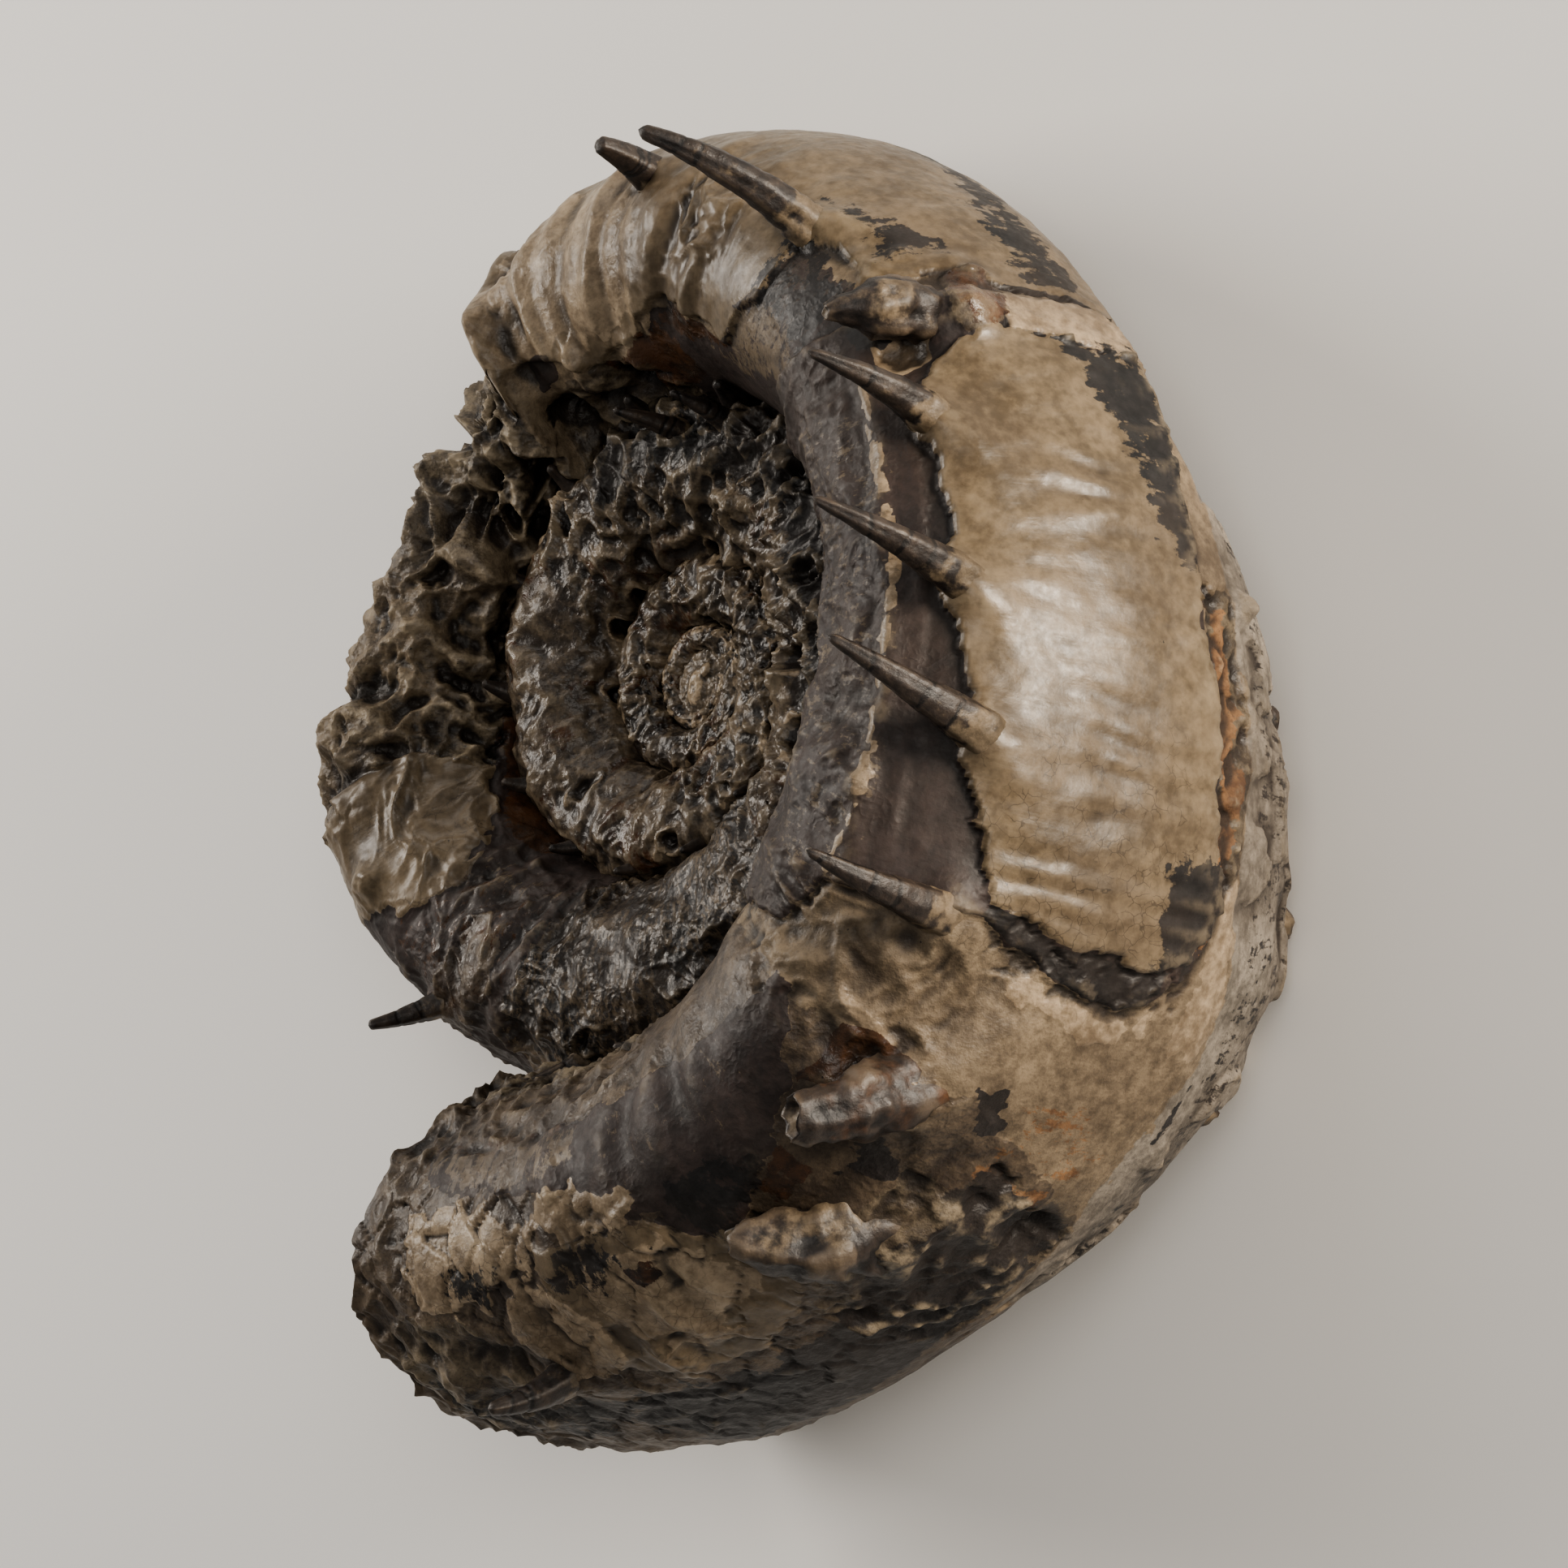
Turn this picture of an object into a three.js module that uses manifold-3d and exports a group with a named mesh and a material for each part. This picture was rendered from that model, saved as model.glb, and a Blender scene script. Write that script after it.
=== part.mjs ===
// A spiny ammonite fossil: one coiled shell, broken off at its mouth, lying on its reverse flank.
// Millimetres, +Z up, z = 0 is the surface that it lies on.
import * as THREE from 'three';
import * as BufferGeometryUtils from 'three/addons/utils/BufferGeometryUtils.js';
import Module from 'manifold-3d';

const wasm = await Module();
wasm.setup();

// The coil, in its own frame: Z is its axis and the shown flank faces +Z.
// back: degrees along the coil, back from the broken mouth to the first chamber.
// radius: from the axis to the belly, in mm.
// depth: of the whorl from belly to back. shown, hidden: half widths towards each flank.
// These three are shares of the radius.
const MOUTH_ANGLE = 268;
const SECTIONS = [
  { back: 0, radius: 102.5, depth: 0.455, shown: 0.375, hidden: 0.32 },
  { back: 35, radius: 99.5, depth: 0.46, shown: 0.4, hidden: 0.275 },
  { back: 70, radius: 97.0, depth: 0.48, shown: 0.415, hidden: 0.415 },
  { back: 105, radius: 88.0, depth: 0.49, shown: 0.405, hidden: 0.345 },
  { back: 140, radius: 79.0, depth: 0.495, shown: 0.385, hidden: 0.22 },
  { back: 175, radius: 74.8, depth: 0.5, shown: 0.365, hidden: 0.225 },
  { back: 205, radius: 71.0, depth: 0.5, shown: 0.325, hidden: 0.24 },
  { back: 220, radius: 66.5, depth: 0.49, shown: 0.31, hidden: 0.25 },
  { back: 228, radius: 60.0, depth: 0.48, shown: 0.3, hidden: 0.25 },
  { back: 245, radius: 57.5, depth: 0.46, shown: 0.285, hidden: 0.26 },
  { back: 270, radius: 59.5, depth: 0.45, shown: 0.29, hidden: 0.27 },
  { back: 300, radius: 64.0, depth: 0.47, shown: 0.32, hidden: 0.29 },
  { back: 340, radius: 58.5, depth: 0.46, shown: 0.3, hidden: 0.29 },
  { back: 520, radius: 42.5, depth: 0.45, shown: 0.3, hidden: 0.29 },
  { back: 700, radius: 29.5, depth: 0.47, shown: 0.3, hidden: 0.29 },
  { back: 880, radius: 19.0, depth: 0.47, shown: 0.29, hidden: 0.28 },
  { back: 1060, radius: 13.0, depth: 0.47, shown: 0.275, hidden: 0.27 },
  { back: 1240, radius: 9.0, depth: 0.47, shown: 0.275, hidden: 0.27 },
  { back: 1600, radius: 4.7, depth: 0.47, shown: 0.275, hidden: 0.27 },
];
// Each whorl is seated on the one before it: it reaches in to this share of that one's radius.
const SEAT = 0.93;

// Stretches of the coil, each one solid: the rings along it and the points round a ring.
const STRETCHES = [
  { from: 0, to: 300, rings: 48, around: 30 },
  { from: 300, to: 600, rings: 35, around: 22 },
  { from: 600, to: 900, rings: 25, around: 18 },
  { from: 900, to: 1200, rings: 16, around: 12 },
  { from: 1200, to: 1560, rings: 15, around: 8 },
];
// The first chamber, a small bead at the axis.
const BEAD_RADIUS = 4.2;
const BEAD_HALF_HEIGHT = 1.5;

// Relief on the whorls, in mm.
const END_CRAGS = 5;
const WORN = { from: 222, to: 300, fade: 12, lumps: 2.2 };
const PIT = { back: 236, round: -52, spread: 13, depth: 5 };
const KNOB = { back: 303, round: 96, spread: 13, height: 4.5 };
const SHELL_EDGE = { back: 77, rise: 1.5 };
const CREAM_EDGE = { back: 132, rise: 1.2 };
const BELLY_WEAR = 1.2;
const ROUGH_PATCH = { back: 50, round: 74, spread: 15, lumps: 1.8 };

// Spines of the shown flank. back and round say where each grows from: round is the angle round the
// section, from the shown flank (0) to the belly (90). out, older, up: how far the tip stands away from
// there, outward, towards the older shell and along the coil's axis. root and tip are radii, in mm.
const SPINES = [
  { back: 20.7, round: 49, out: 5.2, older: -3.3, up: 11, root: 2.6, tip: 0.7 },
  { back: 36.4, round: 55, out: 2, older: 0, up: 6.5, root: 4.5, tip: 2.4 },
  { back: 49.6, round: 59.6, out: -3.7, older: -7.1, up: 13.5, root: 4.6, tip: 1.9 },
  { back: 63, round: 47.2, out: 1.2, older: -5.8, up: 15, root: 4.8, tip: 2.9 },
  { back: 77.5, round: 39.5, out: -4.7, older: 3, up: 21, root: 3, tip: 0.5 },
  { back: 92.5, round: 38, out: -6.5, older: 7.5, up: 22, root: 3, tip: 0.5 },
  { back: 105.7, round: 31.2, out: -4, older: 7, up: 22, root: 2.9, tip: 0.5 },
  { back: 123, round: 29.4, out: -1, older: 6.2, up: 19, root: 2.8, tip: 0.5 },
  { back: 135.4, round: 40.3, out: -4.2, older: 1.4, up: 14, root: 3.6, tip: 1.8 },
  { back: 155, round: 26.9, out: 1.5, older: 13.7, up: 22, root: 3, tip: 0.9 },
  { back: 186.3, round: 28, out: 2.5, older: 0.5, up: 10.5, root: 2.6, tip: 1 },
  { back: 337, round: 38.5, out: 5.9, older: -1, up: 9, root: 1.9, tip: 0.6 },
  { back: 367, round: 47.8, out: 4.1, older: -2.5, up: 9, root: 2, tip: 0.4 },
  { back: 391, round: 47.7, out: 2, older: -6, up: 10, root: 2, tip: 0.4 },
  { back: 405.7, round: 43, out: 3, older: -4, up: 8, root: 1.8, tip: 0.4 },
  { back: 532.4, round: 20, out: 1.2, older: 3, up: 8, root: 1.6, tip: 0.4 },
  { back: 547.8, round: 8.5, out: 1, older: 3.5, up: 8, root: 1.6, tip: 0.4 },
];
// Small thorns left on the inner whorls, evenly spaced, sized by the radius there.
const THORNS = { from: 428, to: 860, step: 27, round: 42, length: 0.12, root: 0.042 };
// Stumps of the reverse flank's spines, worn down to knobs.
const STUMPS = { from: 24, to: 200, step: 19, round: 163, length: 3, root: 3.2, tip: 1.9 };
const SPINE_SINK = 3;
const SPINE_SIDES = 6;
const THORN_SIDES = 5;

// At rest: the coil's axis leans from upright, and the highest points of the reverse flank are worn flat.
const LEAN_X = 0.167;
const LEAN_Y = -0.064;
const WORN_FLAT = 2.2;

const rad = THREE.MathUtils.degToRad;

function smooth(from, to, value) {
  return THREE.MathUtils.smoothstep(value, from, to);
}

function bump(back, round, spot) {
  const along = (back - spot.back) / spot.spread;
  const across = (round - spot.round) / (2 * spot.spread);
  return Math.exp(-(along * along + across * across));
}

// Slopes for a curve through the sections that never overshoots them.
function slopesOf(xs, ys) {
  const gap = xs.slice(1).map((x, i) => x - xs[i]);
  const rise = gap.map((g, i) => (ys[i + 1] - ys[i]) / g);
  return xs.map((_, i) => {
    if (i === 0) return rise[0];
    if (i === xs.length - 1) return rise[i - 1];
    if (rise[i - 1] * rise[i] <= 0) return 0;
    const before = 2 * gap[i] + gap[i - 1];
    const after = gap[i] + 2 * gap[i - 1];
    return (before + after) / (before / rise[i - 1] + after / rise[i]);
  });
}

function curveOf(key, into, outOf) {
  const xs = SECTIONS.map((s) => s.back);
  const ys = SECTIONS.map((s) => into(s[key]));
  const slopes = slopesOf(xs, ys);
  return (back) => {
    const place = Math.min(back, xs[xs.length - 1]);
    const i = xs.findLastIndex((x, j) => x <= place && j < xs.length - 1);
    const gap = xs[i + 1] - xs[i];
    const t = (place - xs[i]) / gap;
    const value =
      (1 + 2 * t) * (1 - t) ** 2 * ys[i] +
      t * (1 - t) ** 2 * gap * slopes[i] +
      t * t * (3 - 2 * t) * ys[i + 1] +
      t * t * (t - 1) * gap * slopes[i + 1];
    return outOf(value);
  };
}

const same = (value) => value;
const radiusAt = curveOf('radius', Math.log, Math.exp);
const depthAt = curveOf('depth', same, same);
const shownAt = curveOf('shown', same, same);
const hiddenAt = curveOf('hidden', same, same);

// How far the surface stands out from the plain section: the bared and pitted stretch, the broken edges
// of the shell layers, the worn strip along the belly's far side and the rough patch by the broken spines.
function relief(back, round) {
  const waves =
    Math.sin(back / 4.3 + 1.1) * Math.sin(round / 21 + 0.6) +
    0.8 * Math.sin(back / 2.9 + round / 33 + 2.2) * Math.sin(round / 14 - back / 11);
  const worn = smooth(WORN.from - WORN.fade, WORN.from, back) * (1 - smooth(WORN.to, WORN.to + WORN.fade, back));
  const towardsFar = smooth(98, 108, round) * (1 - smooth(200, 240, back));
  const shellArea = smooth(40, 54, round) * (1 - towardsFar);
  let height = WORN.lumps * worn * waves;
  height += BELLY_WEAR * towardsFar * waves;
  height += ROUGH_PATCH.lumps * bump(back, round, ROUGH_PATCH) * waves;
  height += SHELL_EDGE.rise * shellArea * smooth(SHELL_EDGE.back - 3, SHELL_EDGE.back + 3, back) *
    (1 - smooth(205, 225, back));
  height += CREAM_EDGE.rise * smooth(20, 36, round) * smooth(CREAM_EDGE.back - 3, CREAM_EDGE.back + 3, back) *
    (1 - smooth(190, 215, back));
  height += KNOB.height * bump(back, round, KNOB);
  height -= PIT.depth * bump(back, round, PIT);
  return height;
}

// A point on the coil, and the direction that the surface faces there.
function coilPoint(back, round) {
  const radius = radiusAt(back);
  const half = (depthAt(back) * radius) / 2;
  const turn = rad(MOUTH_ANGLE + back);
  const s = Math.sin(rad(round));
  const c = Math.cos(rad(round));
  const seat = radius - half - SEAT * radiusAt(back + 360);
  const reach = s < 0 ? Math.max(half, seat) : half;
  const width = (c > 0 ? shownAt(back) : hiddenAt(back)) * radius;
  const face = new THREE.Vector2(s / reach, c / width).normalize();
  const lift = relief(back, round);
  const away = radius - half + reach * s + lift * face.x;
  const height = width * c + lift * face.y;
  return new THREE.Vector3(away * Math.cos(turn), away * Math.sin(turn), height);
}

// The mouth is a rough break: its rim stands back by a few millimetres, unevenly.
function endCrag(round) {
  const waves = Math.sin(round / 17 + 0.4) + 0.7 * Math.sin(round / 7.5 + 2.1);
  return END_CRAGS * (0.45 + 0.28 * waves);
}

function ring(back, around) {
  const points = [];
  for (let i = 0; i < around; i += 1) {
    const round = -180 + (360 * i) / around;
    const crag = back === 0 ? (180 / Math.PI) * (endCrag(round) / radiusAt(0)) : 0;
    points.push(coilPoint(back + crag, round));
  }
  return points;
}

function solidOf(geometry) {
  geometry.deleteAttribute('normal');
  geometry.deleteAttribute('uv');
  const welded = BufferGeometryUtils.mergeVertices(geometry, 1e-4);
  const mesh = new wasm.Mesh({
    numProp: 3,
    vertProperties: new Float32Array(welded.attributes.position.array),
    triVerts: new Uint32Array(welded.index.array),
  });
  return new wasm.Manifold(mesh);
}

function geometryOf(solid) {
  const mesh = solid.getMesh();
  const geometry = new THREE.BufferGeometry();
  geometry.setAttribute('position', new THREE.BufferAttribute(mesh.vertProperties, 3));
  geometry.setIndex(new THREE.BufferAttribute(mesh.triVerts, 1));
  return geometry;
}

// Joins two rings, which may have different numbers of points, with a band of triangles.
function band(older, newer, faces) {
  let i = 0;
  let j = 0;
  while (i < older.length || j < newer.length) {
    const stepOlder = (i + 1) / older.length <= (j + 1) / newer.length;
    if (stepOlder) {
      faces.push(older[i % older.length], newer[j % newer.length], older[(i + 1) % older.length]);
      i += 1;
    } else {
      faces.push(older[i % older.length], newer[j % newer.length], newer[(j + 1) % newer.length]);
      j += 1;
    }
  }
}

function fan(points, towardsMouth, faces) {
  const centre = new THREE.Vector3();
  points.forEach((p) => centre.addScaledVector(p, 1 / points.length));
  points.forEach((p, i) => {
    const next = points[(i + 1) % points.length];
    if (towardsMouth) faces.push(centre, next, p);
    else faces.push(centre, p, next);
  });
}

// Closes the broken mouth with a lumpy face: a ring of points half way in, pushed in and out of the break.
function brokenFace(rim, faces) {
  const centre = new THREE.Vector3();
  rim.forEach((p) => centre.addScaledVector(p, 1 / rim.length));
  const turn = rad(MOUTH_ANGLE);
  const outOfMouth = new THREE.Vector3(Math.sin(turn), -Math.cos(turn), 0);
  const inner = rim.map((p, i) => {
    const push = END_CRAGS * (0.3 + 0.3 * Math.sin(i * 1.9) + 0.2 * Math.sin(i * 0.7));
    return p.clone().lerp(centre, 0.45).addScaledVector(outOfMouth, push);
  });
  band(rim, inner, faces);
  fan(inner, true, faces);
}

function stretchOf({ from, to, rings: count, around }, firstAround) {
  const faces = [];
  const rings = [];
  for (let i = 0; i <= count; i += 1) {
    rings.push(ring(from + ((to - from) * i) / count, i === 0 ? firstAround : around));
  }
  if (from === 0) brokenFace(rings[0], faces);
  else fan(rings[0], true, faces);
  for (let i = 1; i < rings.length; i += 1) {
    band(rings[i], rings[i - 1], faces);
  }
  fan(rings[rings.length - 1], false, faces);
  return solidOf(new THREE.BufferGeometry().setFromPoints(faces));
}

// A tapering spine from a point of the coil. Its root is sunk into the shell.
function spineOf({ back, round, out, older, up, root, tip, sides = SPINE_SIDES }) {
  const turn = rad(MOUTH_ANGLE + back);
  const outward = new THREE.Vector3(Math.cos(turn), Math.sin(turn), 0);
  const backward = new THREE.Vector3(-Math.sin(turn), Math.cos(turn), 0);
  const reach = new THREE.Vector3(0, 0, up).addScaledVector(outward, out).addScaledVector(backward, older);
  const length = reach.length();
  const direction = reach.clone().normalize();
  const geometry = new THREE.CylinderGeometry(tip, root, length + SPINE_SINK, sides, 1);
  geometry.translate(0, (length - SPINE_SINK) / 2, 0);
  geometry.applyQuaternion(new THREE.Quaternion().setFromUnitVectors(new THREE.Vector3(0, 1, 0), direction));
  const base = coilPoint(back, round);
  geometry.translate(base.x, base.y, base.z);
  return solidOf(geometry);
}

function thorns() {
  const made = [];
  for (let back = THORNS.from; back <= THORNS.to; back += THORNS.step) {
    const radius = radiusAt(back);
    const root = THORNS.root * radius;
    const up = THORNS.length * radius;
    const lean = { out: up / 4, older: -up / 4, up };
    made.push(spineOf({ back, round: THORNS.round, ...lean, root, tip: root / 3, sides: THORN_SIDES }));
  }
  return made;
}

function stumps() {
  const made = [];
  for (let back = STUMPS.from; back <= STUMPS.to; back += STUMPS.step) {
    const { round, length, root, tip } = STUMPS;
    made.push(spineOf({ back, round, out: 1, older: 0, up: -length, root, tip, sides: THORN_SIDES }));
  }
  return made;
}

function firstChamber() {
  const geometry = new THREE.SphereGeometry(BEAD_RADIUS, 10, 6);
  geometry.scale(1, 1, BEAD_HALF_HEIGHT / BEAD_RADIUS);
  return solidOf(geometry);
}

// Joining leaves specks of no volume where two surfaces graze: only the largest body is the fossil.
function largestOf(solid) {
  return solid.decompose().reduce((most, body) => (body.volume() > most.volume() ? body : most));
}

const stretches = STRETCHES.map((s, i) => stretchOf(s, i === 0 ? s.around : STRETCHES[i - 1].around));
const pieces = [...stretches, firstChamber(), ...SPINES.map(spineOf), ...thorns(), ...stumps()];
const coil = geometryOf(largestOf(pieces.reduce((joined, piece) => joined.add(piece))));

// Laid down on the reverse flank, then worn flat where it touches the surface.
const floorNormal = new THREE.Vector3(LEAN_X, LEAN_Y, Math.sqrt(1 - LEAN_X ** 2 - LEAN_Y ** 2));
coil.applyQuaternion(new THREE.Quaternion().setFromUnitVectors(floorNormal, new THREE.Vector3(0, 0, 1)));
coil.computeBoundingBox();
const extent = coil.boundingBox.getSize(new THREE.Vector3());
const middle = coil.boundingBox.getCenter(new THREE.Vector3());
coil.translate(-middle.x, -middle.y, -coil.boundingBox.min.z - WORN_FLAT);
const below = new THREE.BoxGeometry(2 * extent.x, 2 * extent.y, extent.z);
below.translate(0, 0, -extent.z / 2);

const ammonite = new THREE.Mesh(
  geometryOf(solidOf(coil).subtract(solidOf(below))),
  new THREE.MeshStandardMaterial({ color: 0x8a7c6c, roughness: 0.45, metalness: 0 }),
);
ammonite.name = 'ammonite';

const part = new THREE.Group();
part.add(ammonite);

export default part;
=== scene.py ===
import itertools
import math

import bpy
import numpy as np
from mathutils import Matrix, Vector


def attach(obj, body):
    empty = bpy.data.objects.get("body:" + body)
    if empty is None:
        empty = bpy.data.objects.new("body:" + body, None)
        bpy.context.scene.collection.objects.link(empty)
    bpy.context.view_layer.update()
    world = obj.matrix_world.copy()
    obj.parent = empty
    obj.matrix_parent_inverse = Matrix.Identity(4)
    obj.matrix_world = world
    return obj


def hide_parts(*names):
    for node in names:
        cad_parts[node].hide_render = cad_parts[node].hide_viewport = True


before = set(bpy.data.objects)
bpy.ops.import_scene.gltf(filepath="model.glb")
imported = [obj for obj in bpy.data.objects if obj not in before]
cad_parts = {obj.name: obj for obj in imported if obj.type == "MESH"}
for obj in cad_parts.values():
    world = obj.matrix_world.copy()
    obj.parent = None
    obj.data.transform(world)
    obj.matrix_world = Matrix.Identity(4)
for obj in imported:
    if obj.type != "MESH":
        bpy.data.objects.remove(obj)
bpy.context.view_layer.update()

# Shapes are worked out in millimetres in the coil's own frame: Z is the coil's axis, out of the shown flank.
# back: degrees along the coil, back from the broken mouth. round: degrees round the section, from the shown
# flank (0) to the belly (90), with the inner side at -90 and the reverse flank at 180.
MM = 0.001
MOUTH_ANGLE = 268
SEAT = 0.93
# back, radius to the belly, depth, half width shown, half width hidden: the last three in shares of radius
SECTIONS = [
    (0, 102.5, 0.455, 0.375, 0.32),
    (35, 99.5, 0.46, 0.4, 0.275),
    (70, 97.0, 0.48, 0.415, 0.415),
    (105, 88.0, 0.49, 0.405, 0.345),
    (140, 79.0, 0.495, 0.385, 0.22),
    (175, 74.8, 0.5, 0.365, 0.225),
    (205, 71.0, 0.5, 0.325, 0.24),
    (220, 66.5, 0.49, 0.31, 0.25),
    (228, 60.0, 0.48, 0.3, 0.25),
    (245, 57.5, 0.46, 0.285, 0.26),
    (270, 59.5, 0.45, 0.29, 0.27),
    (300, 64.0, 0.47, 0.32, 0.29),
    (340, 58.5, 0.46, 0.3, 0.29),
    (520, 42.5, 0.45, 0.3, 0.29),
    (700, 29.5, 0.47, 0.3, 0.29),
    (880, 19.0, 0.47, 0.29, 0.28),
    (1060, 13.0, 0.47, 0.275, 0.27),
    (1240, 9.0, 0.47, 0.275, 0.27),
    (1600, 4.7, 0.47, 0.275, 0.27),
]

# The fossil lies on its reverse flank: the floor's normal in the coil's frame, and where the coil's axis is
FLOOR_NORMAL = Vector((0.167, -0.064, math.sqrt(1 - 0.167**2 - 0.064**2)))
COIL_PLACE = Vector((-15.4169, 12.6753, 24.8084))
REST_TURN = FLOOR_NORMAL.rotation_difference(Vector((0, 0, 1))).to_matrix()

# Millimetres per degree along the coil and round it, where the shell's radius is the usual one
MM_ALONG = 1.3
MM_ROUND = 0.5
USUAL_RADIUS = 85

# How finely the pieces are meshed
DETAIL = 1.0
POINTS_ROUND = int(244 * DETAIL)
RINGS_ALONG = int(1180 * DETAIL)
INNER_ROUND = int(136 * DETAIL)
INNER_RINGS = int(1040 * DETAIL)

# Spines of the shown flank: where each grows from, how far its tip stands out, towards the older shell and
# up the coil's axis, and its radii at root and tip
SPINES = [
    (20.7, 49, 5.2, -3.3, 11, 2.6, 0.7),
    (77.5, 39.5, -4.7, 3, 21, 3, 0.5),
    (92.5, 38, -6.5, 7.5, 22, 3, 0.5),
    (105.7, 31.2, -4, 7, 22, 2.9, 0.5),
    (123, 29.4, -1, 6.2, 19, 2.8, 0.5),
    (155, 26.9, 1.5, 13.7, 22, 3, 0.9),
    (186.3, 28, 2.5, 0.5, 10.5, 2.6, 1),
    (337, 38.5, 5.9, -1, 9, 1.9, 0.6),
    (367, 47.8, 4.1, -2.5, 9, 2, 0.4),
    (391, 47.7, 2, -6, 10, 2, 0.4),
    (405.7, 43, 3, -4, 8, 1.8, 0.4),
    (532.4, 20, 1.2, 3, 8, 1.6, 0.4),
    (547.8, 8.5, 1, 3.5, 8, 1.6, 0.4),
]
# Broken stumps: the same, but with the radii at root, middle and broken end, how deeply they are ridged,
# how strongly their upper side is painted pale as a highlight, and how amber they are
STUMPS = [
    (49.6, 59.6, -3.7, -7.1, 13.5, 6.4, 4.0, 1.7, 0.26, 0.62, 0.0),
    (63, 47.2, 1.2, -5.8, 15, 5.4, 3.9, 2.7, 0.15, 0.12, 0.5),
    (135.4, 40.3, -4.2, 1.4, 14, 3.5, 3.6, 0.9, 0.16, 0.62, 0.1),
]
# Worn stubs of the reverse flank's spines and thorns of the inner whorls: where along the coil and round it
REVERSE_STUBS = range(24, 201, 19)
REVERSE_ROUND = 163
THORNS = range(428, 861, 27)
THORN_ROUND = 42
# How far a root turns into the shell, and how the shell rises to meet it
BLUNT_DIVE, FINE_DIVE = 2.2, 4
FILLET_RISE = 0.8
THICKEST_ROOT = 4.8
SHORTEST_REACH = 4
MOST_LEAN = 0.8
STUB_MOUND, STUB_SPREAD = 1.5, 3.2


def smooth(low, high, value):
    """A smooth step from 0 to 1 between two limits; from 1 to 0 where the first is the higher one."""
    t = np.clip((value - low) / (high - low), 0, 1)
    return t * t * (3 - 2 * t)


def span(value, rise_from, rise_to, fall_from, fall_to):
    """1 over a span of values, easing to 0 at both of its ends."""
    return smooth(rise_from, rise_to, value) * (1 - smooth(fall_from, fall_to, value))


# Numbers scattered through space, for crags, wrinkles and chips that come out the same on each run
LATTICE = 48
LATTICE_START = 100
NOISE_GAIN = 1.6
scatter = np.random.default_rng(11)
slopes_in_space = scatter.normal(size=(LATTICE, LATTICE, LATTICE, 3)).astype(np.float32)
slopes_in_space /= np.linalg.norm(slopes_in_space, axis=-1, keepdims=True)
seeds_in_space = scatter.random(size=(LATTICE, LATTICE, LATTICE, 4)).astype(np.float32)


def noise(points, size, layer=0):
    """Soft lumps of about the given size, from -1 to 1."""
    place = points / size + np.float32(layer * 7.37 + LATTICE_START)
    corner = np.floor(place).astype(np.int32)
    part = place - corner
    ease = part**3 * (part * (part * 6 - 15) + 10)
    total = np.zeros(points.shape[:-1], np.float32)
    for step in itertools.product((0, 1), repeat=3):
        at = (corner + step) % LATTICE
        slope = slopes_in_space[at[..., 0], at[..., 1], at[..., 2]]
        weight = np.prod(np.where(step, ease, 1 - ease), axis=-1)
        total += weight * np.sum(slope * (part - step), axis=-1)
    return total * NOISE_GAIN


def rough(points, size, layers, layer=0):
    """Lumps on lumps."""
    return sum(noise(points, size / 2**i, layer + i) / 2**i for i in range(layers))


def crests(points, size, layers, layer=0):
    """Sharp wandering ridges: 1 on a crest, 0 far from one."""
    total = sum((1 - np.abs(noise(points, size / 2**i, layer + i))) ** 3 / 2**i for i in range(layers))
    return total / sum(1 / 2**i for i in range(layers))


def chips(points, size, layer=0):
    """Cells like broken chips: distance to the nearest seed, gap to the cell's edge, a number per cell."""
    place = points / size + np.float32(layer * 5.13 + LATTICE_START)
    corner = np.floor(place).astype(np.int32)
    part = place - corner
    nearest = np.full(points.shape[:-1], 9, np.float32)
    second = nearest.copy()
    number = np.zeros_like(nearest)
    for step in itertools.product((-1, 0, 1), repeat=3):
        at = (corner + step) % LATTICE
        seed = seeds_in_space[at[..., 0], at[..., 1], at[..., 2]]
        far = np.linalg.norm(seed[..., :3] + np.array(step, np.float32) - part, axis=-1)
        closer = far < nearest
        second = np.where(closer, nearest, np.minimum(second, far))
        number = np.where(closer, seed[..., 3], number)
        nearest = np.where(closer, far, nearest)
    return nearest, second - nearest, number


def curve_of(column, logarithmic=False):
    """A curve through one column of the sections that never overshoots them."""
    xs = np.array([s[0] for s in SECTIONS], float)
    ys = np.array([s[column] for s in SECTIONS], float)
    if logarithmic:
        ys = np.log(ys)
    gap = np.diff(xs)
    rise = np.diff(ys) / gap
    slopes = np.zeros_like(xs)
    slopes[0], slopes[-1] = rise[0], rise[-1]
    for i in range(1, len(xs) - 1):
        if rise[i - 1] * rise[i] > 0:
            before = 2 * gap[i] + gap[i - 1]
            after = gap[i] + 2 * gap[i - 1]
            slopes[i] = (before + after) / (before / rise[i - 1] + after / rise[i])

    def at(back):
        place = np.minimum(back, xs[-1])
        i = np.clip(np.searchsorted(xs, place, side="right") - 1, 0, len(xs) - 2)
        t = (place - xs[i]) / gap[i]
        value = (1 + 2 * t) * (1 - t) ** 2 * ys[i] + t * (1 - t) ** 2 * gap[i] * slopes[i]
        value += t * t * (3 - 2 * t) * ys[i + 1] + t * t * (t - 1) * gap[i] * slopes[i + 1]
        return np.exp(value) if logarithmic else value

    return at


radius_at = curve_of(1, logarithmic=True)
depth_at = curve_of(2)
shown_at = curve_of(3)
hidden_at = curve_of(4)


def stretch_at(back):
    """How much larger the shell is there than where its radius is the usual one."""
    return float(radius_at(back)) / USUAL_RADIUS


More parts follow.
